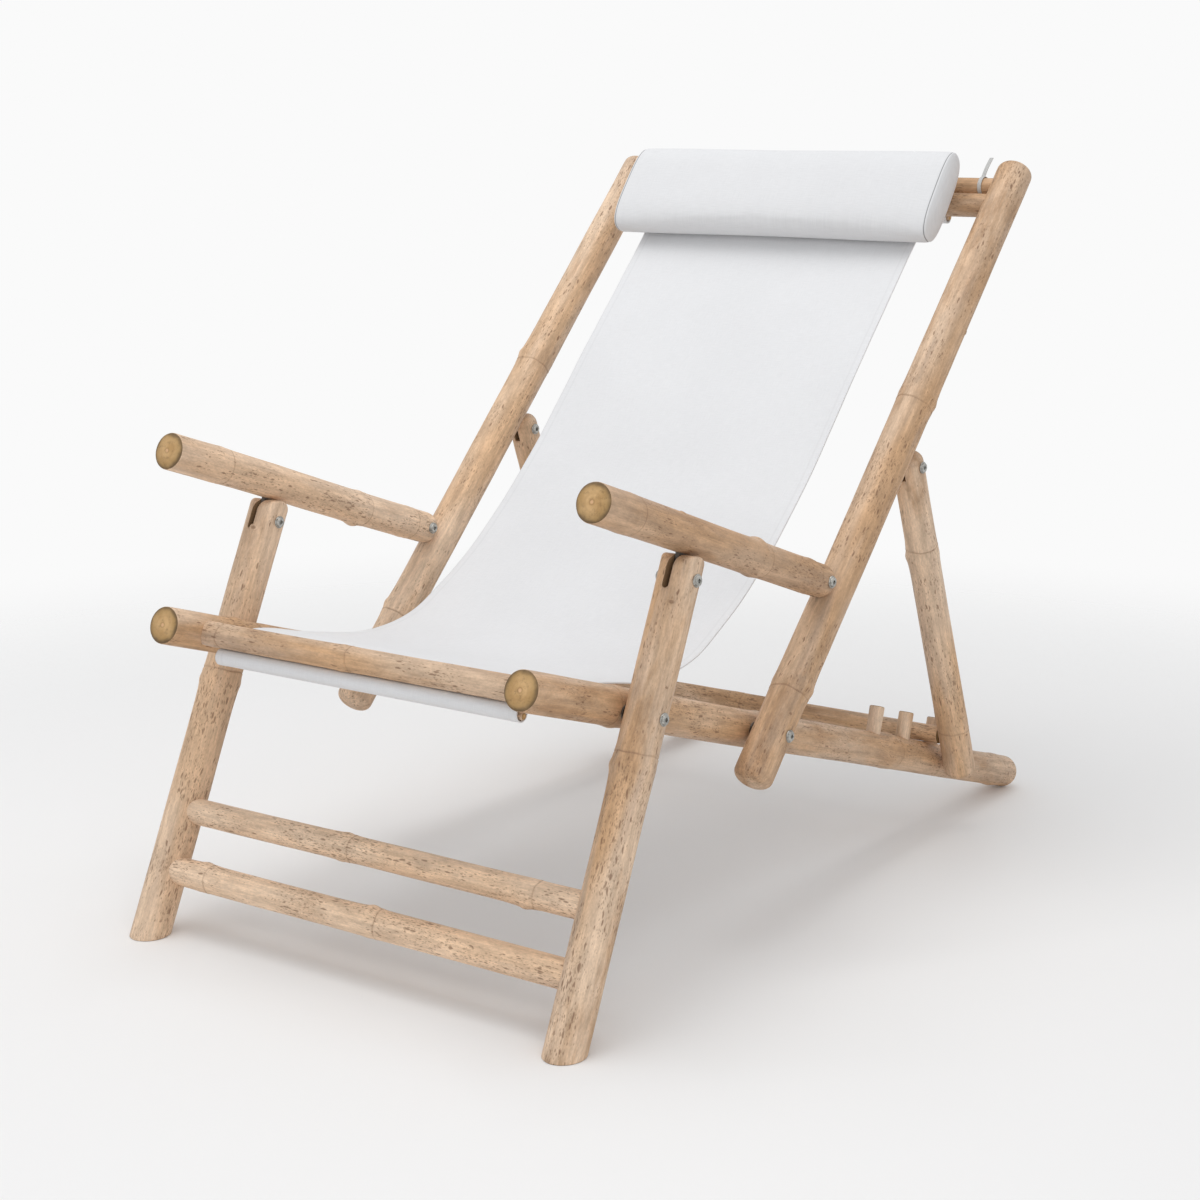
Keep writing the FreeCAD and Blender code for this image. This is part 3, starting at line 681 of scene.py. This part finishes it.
# Real sizes of the frame, in millimetres and degrees.
RAIL_RADIUS = 20.5
POLE_RADIUS = 22
LEG_RADIUS = 22
ARM_RADIUS = 20
PROP_RADIUS = 19
PEG_RADIUS = 9
ROD_RADIUS = 4
RAIL_DOWN = 17.5
POLE_LEAN = 44.2
ARM_RISE = 19.1
RAIL_LENGTH = 1134.4
BACK_PIVOT_ON_RAIL = 413
POLE_STUB = 65
OVERALL_HEIGHT = 840
ARM_REACH = 454
SLOT_PIVOT_ON_ARM = 278.8
LEG_TOP_GAP = 2.8
LEG_TOP_REACH = 24.3
PROP_OVERHANG = 56
# How deep the pegs stand in the rails, and how high above them.
PEG_SEAT = 15
PEG_HEIGHT = 32.5
FIRST_PEG = 734
PEG_SPACING = 80.4
BOLT_HEAD = 14
# The tongues' slots and what cuts them, in metres.
TONGUE_SLOT = 7.4 * MM
TONGUE_ROOM = 10.2 * MM
LEG_SLOT_DEPTH = 15.4 * MM
LEG_CUTTER_WIDE = 50 * MM
LEG_CUTTER_HIGH = 60 * MM
CUTTER_REACH = 40 * MM

joints = {j["name"]: Vector(j["pos_m"]) for j in frame["joints"]}
leg_pivot, back_pivot = joints["leg_fold"], joints["back_fold"]
arm_pivot, prop_pivot = joints["arm_fold"], joints["prop_fold"]
outer = middle("leg_left").x
inner = middle("rail_left").x
rail_along, rail_up = heading(-RAIL_DOWN), heading(90 - RAIL_DOWN)
pole_along, pole_front = heading(90 - POLE_LEAN), heading(180 - POLE_LEAN)
arm_forward, arm_down = heading(180 - ARM_RISE), heading(-90 - ARM_RISE)
rail_front = back_pivot - rail_along * BACK_PIVOT_ON_RAIL * MM
pole_bottom = back_pivot - pole_along * POLE_STUB * MM
pole_rise = OVERALL_HEIGHT - POLE_RADIUS - back_pivot.z / MM
pole_top = back_pivot + pole_along * (pole_rise / pole_along.z + POLE_RADIUS) * MM
slot_pivot = (arm_pivot + arm_forward * SLOT_PIVOT_ON_ARM * MM
              + arm_down * (ARM_RADIUS + LEG_RADIUS + LEG_TOP_GAP) * MM)
foot = next(Vector(m["pos_m"]) for m in frame["record"]["mounts"] if m["name"] == "foot_left")
foot.x = 0
leg_along = (slot_pivot - foot).normalized()
prop_down = middle("prop_bar") - prop_pivot
prop_down.x = 0
prop_end = prop_pivot + prop_down + prop_down.normalized() * PROP_OVERHANG * MM
prop_down.normalize()

# An end's shape: its kind, then a round one's rise and power or another one's hollow or slope.
POLE_END = ("round", 13.0, 2.4)

# Nodes, scars and speckle along each culm, read from the photograph, from its first end. A scar
# has its place, its angle in degrees and its size, and speckle a place and a density.
# Tones below are partly each culm's own colour and partly painted light: lower on the near culms that catch the
# light, higher on the far ones in shade.
for side, way in (("left", 1), ("right", -1)):
    out = Vector((way * outer, 0, 0))
    rail_out = Vector((way * inner, 0, 0))
    near = way > 0
    seed = 1 if near else 31

    culm("rail_" + side, "rails", rail_front + rail_out,
         rail_front + rail_out + rail_along * RAIL_LENGTH * MM, RAIL_RADIUS,
         rings=(Ring(148 if near else 92, 1.7, -1), Ring(458, 1.3, 1, tilt=1.4),
                Ring(783 if near else 700, 2.0, 1), Ring(1094, 1.4, 1)),
         ends=(("flat", 1.8), ("round", 9.0, 2.6)), seed=seed + 1,
         speckle=((0, 0.95), (300, 0.9), (500, 0.6), (1100, 0.65)), shave=way, tone=0.93,
         scars=((868, 150 if near else 30, 5.0), (1102, 5 if near else 175, 4.0)))

    lean = leg_along.y / leg_along.z
    leg_top = slot_pivot + leg_along * LEG_TOP_REACH * MM
    cutter = slot_cutter(slot_pivot + out, leg_along, TONGUE_SLOT, LEG_SLOT_DEPTH,
                         LEG_CUTTER_WIDE, LEG_CUTTER_HIGH)
    culm("leg_" + side, "legs", foot + out, leg_top + out, LEG_RADIUS,
         rings=(Ring(297 if near else 302, 2.2, 1),),
         ends=(("floor", -lean), ("saddle", LEG_TOP_REACH)), seed=seed + 2,
         tone=1.0 if near else 1.08,
         speckle=((0, 0.9), (285, 0.95), (305, 0.45), (520, 0.25)), shave=-way,
         scars=((452 if near else 466, -62 if near else -75, 5.0),
                (368, -20 if near else 200, 3.2)),
         cuts=[cutter])

    culm("pole_" + side, "back", pole_bottom + out, pole_top + out, POLE_RADIUS,
         rings=(Ring(113 if near else 127, 1.9, -1), Ring(517 if near else 532, 1.9, -1)),
         ends=(POLE_END, POLE_END), seed=seed + 3,
         speckle=((0, 0.6), (110, 0.6), (420, 0.7), (540, 0.45), (700, 0.35), (880, 0.75)),
         shave=-way, tone=0.93 if near else 1.05,
         scars=((160, 8 if near else 172, 4.5), (640, 20, 4.0), (86, -30, 3.6)))

    side_reach = TONGUE_ROOM + CUTTER_REACH
    arm_cutter = box_cutter(arm_pivot + out + arm_forward * TONGUE_ROOM
                            + arm_down * CUTTER_REACH, arm_forward * -1, side_reach,
                            side_reach, TONGUE_SLOT)
    arm_front = arm_pivot + arm_forward * ARM_REACH * MM
    arm_rear = arm_pivot - arm_forward * ARM_RADIUS * MM
    culm("arm_" + side, "arms", arm_front + out, arm_rear + out, ARM_RADIUS,
         rings=(Ring(66 if near else 88, 0.8, 1, tilt=0.6),
                Ring(322 if near else 335, 2.4, 1, bump=0.5),
                Ring(436 if near else 428, 0.8, 1, tilt=0.5)),
         ends=(("flat", 3.0), ("round", 17.0, 2.3)), seed=seed + 4,
         speckle=((0, 0.6), (200, 0.5), (330, 0.8), (474, 0.75)), taper=-0.06,
         tone=0.87 if near else 1.09,
         scars=((150, -70 if near else -110, 3.6),), cuts=[arm_cutter])

    prop_left = left_of(prop_down)
    prop_cutter = box_cutter(prop_pivot + out - prop_down * CUTTER_REACH
                             - prop_left * CUTTER_REACH, prop_down, side_reach,
                             2 * CUTTER_REACH, TONGUE_SLOT)
    culm("prop_" + side, "props", prop_pivot + out - prop_down * PROP_RADIUS * MM,
         prop_end + out, PROP_RADIUS,
         rings=(Ring(126, 2.2, -1), Ring(392, 0.5, 1, tilt=1.5)),
         ends=(("round", 15.0, 2.2), ("round", 12.0, 2.5)), seed=seed + 5,
         speckle=((0, 0.45), (120, 0.75), (400, 0.65)), taper=0.04, tone=1.03,
         scars=((395, 10 if near else 170, 4.0),), cuts=[prop_cutter])

    for number in (1, 2, 3):
        reach = (FIRST_PEG + (number - 1) * PEG_SPACING) * MM
        bottom = (rail_front + rail_out + rail_along * reach
                  + rail_up * (RAIL_RADIUS - PEG_SEAT) * MM)
        top = bottom + rail_up * (PEG_SEAT + PEG_HEIGHT) * MM
        culm("peg_%s_%d" % (side, number), "rails", bottom, top, PEG_RADIUS,
             ends=(("flat", 0.2), ("flat", 0.4)), seed=seed + 6 + number,
             speckle=((0, 0.15),), taper=0.05, bow=0.3, around=28)


def across_ends(node):
    """The right and left ends of a node that lies across the chair."""
    low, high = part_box(node)
    centre = (low + high) / 2
    return [Vector((x, centre.y, centre.z)) for x in (low.x, high.x)]


# Each crossbar's body, radius, nodes, seed and tone. The tone is partly the bar's own colour and partly painted
# light: darker on the front bar, which faces up into the light, and lighter on the rungs, which lie in the chair's
# shade.
BARS = {
    "front_bar": ("rails", 13.5, (Ring(217, 1.0, 1), Ring(33, 0.4, 1)), 51, 0.94),
    "rung_upper": ("legs", 14.5, (Ring(242, 2.0, 1), Ring(487, 1.8, 1)), 52, 1.12),
    "rung_lower": ("legs", 15.5, (Ring(60, 1.6, 1), Ring(302, 2.0, 1)), 53, 1.14),
    "top_bar": ("back", 11.5, (Ring(260, 0.9, 1),), 54, 1.0),
    "sling_bar": ("back", 15.0, (Ring(310, 0.8, 1),), 55, 0.97),
    "prop_bar": ("rails", 11.2, (Ring(240, 1.1, 1),), 56, 1.0),
}
for name, (body, radius, rings, seed, tone) in BARS.items():
    culm(name, body, *across_ends(name), radius, rings=rings, seed=seed, around=36,
         ends=(("flat", 0.4), ("flat", 0.4)), speckle=((0, 0.75),), bow=0.8, tone=tone)
for name, body, seed in (("seat_rod", "rails", 61), ("back_rod", "back", 62)):
    culm(name, body, *across_ends(name), ROD_RADIUS, seed=seed, around=20, suffix="_dowel",
         ends=(("flat", 0.3), ("flat", 0.3)), speckle=((0, 0.3),), bow=0.2)


# Bolts: a round head with a hexagonal socket at each end of a shank.
# The head's profile: share of its radius, rise in millimetres, and whether it is hexagonal.
HEAD_PROFILE = ((0.3, -0.5, 0), (1.0, -0.5, 0), (1.0, 0.6, 0), (0.96, 1.0, 0),
                (0.82, 1.05, 0), (0.81, 1.2, 0), (0.8, 2.16, 0), (0.75, 2.7, 0),
                (0.66, 3.0, 0), (0.4, 3.0, 1), (0.34, 2.76, 1), (0.34, 0.6, 1), (0.0, 0.6, 0))
BOLT_SEGMENTS = 30
SHANK_RADIUS = 3.5
SIXTH = math.pi / 6


def turned_ring(centre, radius, hexagon=0):
    """Points round the x axis, on a circle or a hexagon of about its size."""
    ring = []
    for k in range(BOLT_SEGMENTS):
        angle = math.tau * k / BOLT_SEGMENTS
        r = radius
        if hexagon:
            r *= math.cos(SIXTH) / math.cos(angle % (2 * SIXTH) - SIXTH) * 1.08
        ring.append(centre + Vector((0, r * math.cos(angle), r * math.sin(angle))))
    return ring


def bolts(node, body, ends):
    """A node's bolts, each from its inner to its outer head."""
    points, faces = [], []
    for inside, outside in ends:
        outward = 1 if outside.x > inside.x else -1
        for tip, way in ((inside, -outward), (outside, outward)):
            for level, (share, rise, hexagon) in enumerate(HEAD_PROFILE):
                base = len(points)
                points += turned_ring(tip + Vector((way * rise * MM, 0, 0)),
                                      BOLT_HEAD / 2 * share * MM, hexagon)
                if level:
                    join_rings(faces, base - BOLT_SEGMENTS, base, BOLT_SEGMENTS, way < 0)
        base = len(points)
        for place in (inside, outside):
            points += turned_ring(place, SHANK_RADIUS * MM)
        join_rings(faces, base, base + BOLT_SEGMENTS, BOLT_SEGMENTS)
    item = mesh_object(node + "_heads", points, faces, (STEEL,))
    item.data.set_sharp_from_angle(angle=math.radians(38))
    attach(item, body)
    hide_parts(node)


# Play under a head, so that it lies on the wood and not in it.
SEAT = 0.1 * MM
for name, body, centre, radius_in, plane_in, radius_out in (
        ("leg_bolts", "rails", leg_pivot, RAIL_RADIUS, inner, LEG_RADIUS),
        ("back_bolts", "rails", back_pivot, RAIL_RADIUS, inner, POLE_RADIUS),
        ("slot_bolts", "legs", slot_pivot, LEG_RADIUS, outer, LEG_RADIUS),
        ("arm_bolts", "arms", arm_pivot, ARM_RADIUS, outer, ARM_RADIUS),
        ("prop_bolts", "props", prop_pivot, PROP_RADIUS, outer, PROP_RADIUS)):
    bolts(name, body, [(centre + Vector((way * (plane_in - radius_in * MM - SEAT), 0, 0)),
                        centre + Vector((way * (outer + radius_out * MM + SEAT), 0, 0)))
                       for way in (1, -1)])

# The washers and the tongues in the slots get the darkened steel, painted shade that stands for the shadow in the
# joints.
for name in ["washers"] + ["%s_tongue_%s" % (part, side) for part in ("arm", "prop", "leg")
                           for side in ("left", "right")]:
    mesh = frame["nodes"][name].data
    mesh.materials.clear()
    mesh.materials.append(STEEL_PAINTED_SHADE)


# Canvas sling: one sheet from the rod under the front bar to the rod behind the top.
CANVAS_THICK = 1.4
# The front sleeve's radius, how far it sits above its rod, and the degrees a sleeve turns.
SLEEVE_MIDDLE = 8.4
SLEEVE_SLACK = 2.6
SLEEVE_TURN = 322
HALF_SLING = 204.85
HEM_WIDTH = 11
HEM_RISE = 0.3
SEAM_INSET = 1.4
# Metres from the bars at which the cloth hangs free, and over which it comes to that.
FREE_LOW, FREE_HIGH, FREE_BLEND = 0.03, 0.02, 0.12
SLING_STEP = 7.0
SLING_COLUMNS = 40
# Points across each edge, in millimetres from it.
EDGE_COLUMNS = (0, 1.5, 4, 7, 9.5, HEM_WIDTH, HEM_WIDTH + 1.5, 16)


def smooth_path(points, start_heading, end_heading, step):
    """A cubic through points of the side view, sampled every step millimetres."""
    ps = [Vector((p.y, p.z)) for p in points]
    gaps = [(b - a).length for a, b in zip(ps, ps[1:])]
    tangents = [Vector((start_heading.y, start_heading.z))]
    for k in range(1, len(gaps)):
        before, after = (ps[k] - ps[k - 1]) / gaps[k - 1], (ps[k + 1] - ps[k]) / gaps[k]
        share = gaps[k - 1] / (gaps[k - 1] + gaps[k])
        tangents.append((before * (1 - share) + after * share).normalized())
    tangents.append(Vector((end_heading.y, end_heading.z)))
    path = []
    for k, gap in enumerate(gaps):
        count = max(2, round(gap / (step * MM)))
        for j in range(count):
            t = j / count
            a = 2 * t ** 3 - 3 * t ** 2 + 1
            b = t ** 3 - 2 * t ** 2 + t
            c = -2 * t ** 3 + 3 * t ** 2
            d = t ** 3 - t ** 2
            path.append(ps[k] * a + tangents[k] * gap * b + ps[k + 1] * c
                        + tangents[k + 1] * gap * d)
    path.append(ps[-1])
    return [Vector((0, p.x, p.y)) for p in path]


def arc(centre, radius, first, last, count):
    return [centre + heading(first + (last - first) * k / count) * radius * MM
            for k in range(count + 1)]


def side_mm(y, z):
    return Vector((0, y * MM, z * MM))


def side_point(node):
    """A node's middle in the side view."""
    centre = middle(node)
    return Vector((0, centre.y, centre.z))


front_bar, seat_rod, sling_bar, back_rod = (
    side_point(node) for node in ("front_bar", "seat_rod", "sling_bar", "back_rod"))
seat_sleeve = seat_rod + Vector((0, 0, SLEEVE_SLACK * MM))

clear = BARS["front_bar"][1] + 1.6
tuck = front_bar + heading(-40) * (clear + 1) * MM
to_tuck = tuck - seat_sleeve
lead = math.degrees(math.atan2(to_tuck.z, to_tuck.y)
                    + math.asin(SLEEVE_MIDDLE * MM / to_tuck.length))
seat_loop = arc(seat_sleeve, SLEEVE_MIDDLE, lead - 90 - SLEEVE_TURN, lead - 90, 30)
sling_gap = BARS["sling_bar"][1] + 1.9
rise = 90 - POLE_LEAN
body_points = [
    seat_loop[-1],
    tuck,
    front_bar + heading(-8) * (clear + 1.6) * MM,
    *(front_bar + side_mm(y, z) for y, z in ((44, -2), (135, -21), (250, -39), (325, -28))),
    side_mm(-121.6, 333.0),
    *(back_pivot + pole_along * up * MM + pole_front * out * MM
      for up, out in ((150, 35), (284, sling_gap + 1), (500, sling_gap + 0.5))),
    sling_bar + pole_front * sling_gap * MM,
]
main_path = smooth_path(body_points, heading(lead), heading(rise), SLING_STEP)
wrap = arc(sling_bar, sling_gap, rise + 90, rise - 90, 18)
loop_radius = (back_rod - sling_bar).length / MM - sling_gap
back_loop = arc(back_rod, loop_radius, rise + 90, rise + 90 + SLEEVE_TURN, 30)
sling_path = seat_loop[:-1] + main_path[:-1] + wrap[1:-1] + back_loop


def path_lengths(path):
    lengths = [0.0]
    for a, b in zip(path, path[1:]):
        lengths.append(lengths[-1] + (b - a).length)
    return lengths


def path_normals(path):
    """At each point of a path in the side view, the direction to its left."""
    normals = []
    for k in range(len(path)):
        along = (path[min(k + 1, len(path) - 1)] - path[max(k - 1, 0)]).normalized()
        normals.append(left_of(along))
    return normals


def build_sling():
    """The sheet with two faces, and its length along the path."""
    lengths = path_lengths(sling_path)
    normals = path_normals(sling_path)
    free_low = lengths[len(seat_loop)] + FREE_LOW
    free_high = lengths[len(seat_loop) + len(main_path)] - FREE_HIGH
    first = EDGE_COLUMNS[-1]
    across = [*EDGE_COLUMNS]
    for k in range(1, SLING_COLUMNS):
        across.append(first + (2 * HALF_SLING - 2 * first) * k / SLING_COLUMNS)
    across += [2 * HALF_SLING - c for c in reversed(EDGE_COLUMNS)]
    width = len(across)
    points, uv, stitch_and_shade = [], [], []
    for s, place, normal in zip(lengths, sling_path, normals):
        open_share = max(0.0, min(1.0, (s - free_low) / FREE_BLEND, (free_high - s) / FREE_BLEND))
        open_share = open_share * open_share * (3 - 2 * open_share)
        for layer, columns in ((1, across), (-1, across[::-1])):
            for c in columns:
                x = c - HALF_SLING
                share = x / HALF_SLING
                pull = 2.6 * open_share * (1 + 0.25 * wander(3, s * 9))
                x_here = x - math.copysign(pull * abs(share) ** 3, x)
                sag = -2.2 * open_share * (1 - share ** 2)
                sag += 0.55 * open_share * wander(7, s * 14 + share * 0.8)
                sag += 0.4 * open_share * noise.noise(Vector((share * 3.1, s * 17, 4.2)))
                edge = min(c, 2 * HALF_SLING - c)
                # The hem's stitch line, marked to be drawn a little darker.
                seam = 1.0 if abs(edge - (HEM_WIDTH - SEAM_INSET)) < 0.2 else 0.0
                curl = 0.5 * math.exp(-edge / 3) * wander(17, s * 20) * open_share
                hem = HEM_RISE if 0.1 <= edge <= HEM_WIDTH else 0.0
                thick = (CANVAS_THICK + hem) / 2
                height = sag + curl + layer * thick
                points.append(place + Vector((x_here * MM, 0, 0)) + normal * height * MM)
                uv.append((c * MM, s))
                stitch_and_shade.append(seam)
    faces = []
    for k in range(len(sling_path) - 1):
        join_rings(faces, 2 * width * k, 2 * width * (k + 1), 2 * width)
    for first in (0, len(points) - 2 * width):
        for j in range(width - 1):
            a, b = first + j, first + 2 * width - 1 - j
            faces.append((a, b, b - 1, a + 1))
    item = mesh_object("canvas_sling", points, faces, (CANVAS,))
    set_cloth_map(item, uv)
    paint(item, "stitch_and_shade", stitch_and_shade)
    turn_outward(item)
    return item, lengths[-1]


sling, sling_length = build_sling()
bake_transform(sling)
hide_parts("seat_sling", "back_sling")


# Pillow: a tube of cotton with a sewn panel at each end, filled and tied in front of the top.
PILLOW_TALL = 130
PILLOW_THICK = 48
PILLOW_SQUARE_UP, PILLOW_SQUARE_OUT = 3.4, 2.5
PILLOW_STEPS, PILLOW_AROUND = 72, 56
PILLOW_FRAMES = 20
# The cloth's settings while it is filled, in Blender's own units.
PILLOW_CLOTH = {"quality": 6, "mass": 0.25, "use_pressure": True,
                "uniform_pressure_force": 3.0, "shrink_min": -0.03, "tension_stiffness": 20,
                "bending_stiffness": 0.2, "vertex_group_mass": "held"}
PILLOW_LEAN = 38
# How far the pillow is set up the poles, and how far its end panels stand out.
PILLOW_RISE = 20
PILLOW_PANEL = 5
# How far the filling moves the cloth, how far in from an end it is held, and the length over
# which it comes free.
PILLOW_MOVE = 1.8
PILLOW_HELD = 14
PILLOW_FREE = 90
# The end's rows: distance in from the seam's end, and the section's share there.
PILLOW_EDGE = ((10, 1.0), (7, 1.0), (4.6, 0.998), (3.4, 0.99), (2.4, 0.968), (1.4, 0.985),
               (0.8, 0.982), (0, 0.955))
PILLOW_SEAM = 2.4
# The end panel's rings: the section's share there, and how far they stand out.
PILLOW_CAP = ((0.9, 1.3), (0.78, 2.5), (0.6, 3.7), (0.4, 4.5), (0.2, 4.9))

pillow_low, pillow_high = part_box("pillow")
pillow_half = (pillow_high.x - pillow_low.x) / 2 / MM
pillow_along, pillow_front = heading(90 - PILLOW_LEAN), heading(180 - PILLOW_LEAN)
pillow_centre = (pillow_low + pillow_high) / 2 + pole_along * PILLOW_RISE * MM


def pillow_point(x, up, out):
    return (pillow_centre + Vector((x * MM, 0, 0)) + pillow_along * up * MM
            + pillow_front * out * MM)


def pillow_section(count):
    """A rounded slab in the side view."""
    outline = []
    for k in range(count):
        angle = math.tau * k / count
        c, s = math.cos(angle), math.sin(angle)
        outline.append((math.copysign(abs(c) ** (2 / PILLOW_SQUARE_UP), c) * PILLOW_TALL / 2,
                        math.copysign(abs(s) ** (2 / PILLOW_SQUARE_OUT), s) * PILLOW_THICK / 2))
    return outline


def pillow_shell(half, steps, count):
    """The cover's points, faces and seam marks, which get painted shade, from one end panel to the other."""
    outline = pillow_section(count)
    inside = half - PILLOW_EDGE[0][0]
    rows = [(-(half - d), share) for d, share in reversed(PILLOW_EDGE)]
    rows += [(-inside + 2 * inside * k / steps, 1.0) for k in range(1, steps)]
    rows += [(half - d, share) for d, share in PILLOW_EDGE]
    points, faces, seam = [], [], []
    for x, share in rows:
        crown = 1 - 0.1 * abs(x / half) ** 4
        mark = 1.0 if abs(abs(x) - half + PILLOW_SEAM) < 0.01 else 0.0
        for up, out in outline:
            points.append(pillow_point(x, up * share, out * share * crown))
            seam.append(mark)
    for row in range(len(rows) - 1):
        join_rings(faces, row * count, (row + 1) * count, count)
    for end, way in ((0, -1), (len(rows) - 1, 1)):
        last = end * count
        for share, rise_mm in PILLOW_CAP:
            first = len(points)
            size = share * PILLOW_EDGE[-1][1]
            points += [pillow_point(way * (half + rise_mm), up * size, out * size * 0.9)
                       for up, out in outline]
            join_rings(faces, last, first, count, way < 0)
            last = first
        close_ring(faces, last, len(points), count, way < 0)
        points.append(pillow_point(way * (half + PILLOW_PANEL), 0, 0))
    seam += [0.0] * (len(points) - len(seam))
    return points, faces, seam


def soften(item):
    """Fill the pillow with air as cloth, held at its seams, each point near its start."""
    vertices = item.data.vertices
    held = item.vertex_groups.new(name="held")
    for vertex in vertices:
        inside = pillow_half - abs(vertex.co.x) / MM
        if inside < PILLOW_HELD:
            held.add([vertex.index], 1.0, "REPLACE")
    cloth = item.modifiers.new("cloth", "CLOTH")
    for key, value in PILLOW_CLOTH.items():
        setattr(cloth.settings, key, value)
    cloth.settings.effector_weights.gravity = 0
    scene = bpy.context.scene
    cloth.point_cache.frame_start = 1
    cloth.point_cache.frame_end = PILLOW_FRAMES
    for number in range(1, PILLOW_FRAMES + 1):
        scene.frame_set(number)
    blown = evaluated_mesh(item)
    for vertex, new in zip(vertices, blown.vertices):
        move = new.co - vertex.co
        inside = pillow_half - abs(vertex.co.x) / MM
        share = max(0.0, min(1.0, (inside - PILLOW_HELD) / PILLOW_FREE))
        limit = PILLOW_MOVE * share * (2 - share) * MM
        if move.length > limit:
            move *= limit / move.length
        vertex.co += move
    bpy.data.meshes.remove(blown)
    item.vertex_groups.clear()
    scene.frame_set(1)


def subdivide(item):
    modifier = item.modifiers.new("fine", "SUBSURF")
    modifier.levels = modifier.render_levels = 1
    bpy.context.view_layer.update()
    old = item.data
    item.data = evaluated_mesh(item)
    bpy.data.meshes.remove(old)


points, faces, seam = pillow_shell(pillow_half - PILLOW_PANEL, PILLOW_STEPS, PILLOW_AROUND)
pillow = mesh_object("pillow_cover", points, faces, (PILLOW,))
# The seam marks darken the cover there: painted shade in the seam grooves.
paint(pillow, "stitch_and_shade", seam)
soften(pillow)
subdivide(pillow)
pillow.data.polygons.foreach_set("use_smooth", [True] * len(pillow.data.polygons))
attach(pillow, "back")
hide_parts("pillow")


# Tapes: each goes round the top bar, with one end standing up and one hanging down.
TAPE_WIDE = 5
TAPE_THICK = 0.8
TAPE_START = 75
TAPE_STEP = 2.5
top_bar = middle("top_bar")


def tape(name, x):
    place = Vector((x, top_bar.y, top_bar.z))
    radius = BARS["top_bar"][1] + 0.9
    turn = [place + heading(a) * radius * MM for a in range(TAPE_START, TAPE_START + 361, 12)]
    up_end = [turn[0] + heading(84) * 8 * MM, turn[0] + heading(68) * 17 * MM,
              turn[0] + heading(62) * 27 * MM]
    bottom = place + heading(-74) * (radius + 1.6) * MM
    down = [bottom + heading(-110) * s * MM + pole_front * b * MM
            for s, b in ((0, 0), (9, 0.4), (18, 1.6), (29, 1.0), (37, -1.4))]
    item_points, faces, uv = [], [], []

    def ribbon(path, lean):
        lengths = path_lengths(path)
        base = len(item_points)
        for k, (p, normal) in enumerate(zip(path, path_normals(path))):
            drift = lean * (lengths[k] / lengths[-1]) ** 1.5
            for across, out in ((-1, -1), (1, -1), (1, 1), (-1, 1)):
                item_points.append(p + Vector(((across * TAPE_WIDE / 2 + drift) * MM, 0, 0))
                                   + normal * out * TAPE_THICK / 2 * MM)
                uv.append(((across + 1) * TAPE_WIDE / 2 * MM, lengths[k]))
        for k in range(len(path) - 1):
            join_rings(faces, base + k * 4, base + k * 4 + 4, 4)
        end = base + (len(path) - 1) * 4
        faces.extend([(base + 3, base + 2, base + 1, base), (end, end + 1, end + 2, end + 3)])

    def fine(path):
        curve = smooth_path(path, path[1] - path[0], path[-1] - path[-2], TAPE_STEP)
        return [p + Vector((x, 0, 0)) for p in curve]

    ribbon(turn, 0.0)
    ribbon(fine([place + heading(92) * radius * MM, *up_end]), math.copysign(3.0, x))
    ribbon(fine([place + heading(-60) * (radius + 0.9) * MM, *down]), -math.copysign(2.0, x))
    item = mesh_object(name, item_points, faces, (TAPE,), smooth=False)
    set_cloth_map(item, uv)
    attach(item, "back")
    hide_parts("pillow_ties")


tie_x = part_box("pillow_ties")[1].x - TAPE_WIDE / 2 * MM
tape("tape_left", tie_x)
tape("tape_right", -tie_x)


# Stage: a pale floor that fades into the backdrop, and soft light from above.
# Metres: the floor's reach, and where it starts and ends to fade.
FLOOR_REACH = 6.0
FADE_START, FADE_END = 0.9, 2.1
FLOOR = srgb(243, 242, 241)
BACKDROP = 0.956
AMBIENT = 0.68
AMBIENT_TINT = (0.965, 0.98, 1.0, 1)


def floor_material():
    g = Graph("floor")
    g.surface(FLOOR, 0.9, 0.1)
    away = g.add("VectorMath", {0: g.place()}, 1, operation="LENGTH")
    fade = g.ramp(away, FADE_START, FADE_END)
    both = g.add("MixShader", {0: fade, 1: g.shader.outputs[0],
                               2: g.add("BsdfTransparent", {})})
    g.put(g.tree.nodes["Material Output"].inputs["Surface"], both)
    return g.owner


floor = mesh_object("floor", [(x * FLOOR_REACH, y * FLOOR_REACH, 0)
                              for x, y in ((-1, -1), (1, -1), (1, 1), (-1, 1))],
                    [(0, 1, 2, 3)], (floor_material(),), smooth=False)

# The world lights the object, and shows the backdrop to the camera and in gloss and glass.
g = Graph("studio", "worlds")
bpy.context.scene.world = g.owner
ambient = g.tree.nodes["Background"]
g.put(ambient.inputs["Color"], AMBIENT_TINT)
g.put(ambient.inputs["Strength"], AMBIENT)
backdrop = g.add("Background", {"Color": (BACKDROP, BACKDROP, BACKDROP, 1)})
rays = g.node("LightPath", {})
shown = rays["Is Camera Ray"]
for ray in ("Is Glossy Ray", "Is Transmission Ray"):
    shown = g.math("MAXIMUM", shown, rays[ray])
either = g.add("MixShader", {0: shown, 1: ambient.outputs[0], 2: backdrop})
g.put(g.tree.nodes["World Output"].inputs["Surface"], either)


def softbox(name, place, target, wide, high, power):
    data = bpy.data.lights.new(name, "AREA")
    data.shape = "RECTANGLE"
    data.size = wide
    data.size_y = high
    data.energy = power
    lamp = add_object(name, data)
    lamp.location = place
    lamp.rotation_euler = (Vector(target) - Vector(place)).to_track_quat("-Z", "Y").to_euler()


softbox("key", (-0.3, -0.4, 3.0), (0, 0, 0.2), 2.0, 2.0, 33)
softbox("fill", (2.4, -2.6, 1.3), (0, 0, 0.4), 1.8, 1.8, 18)
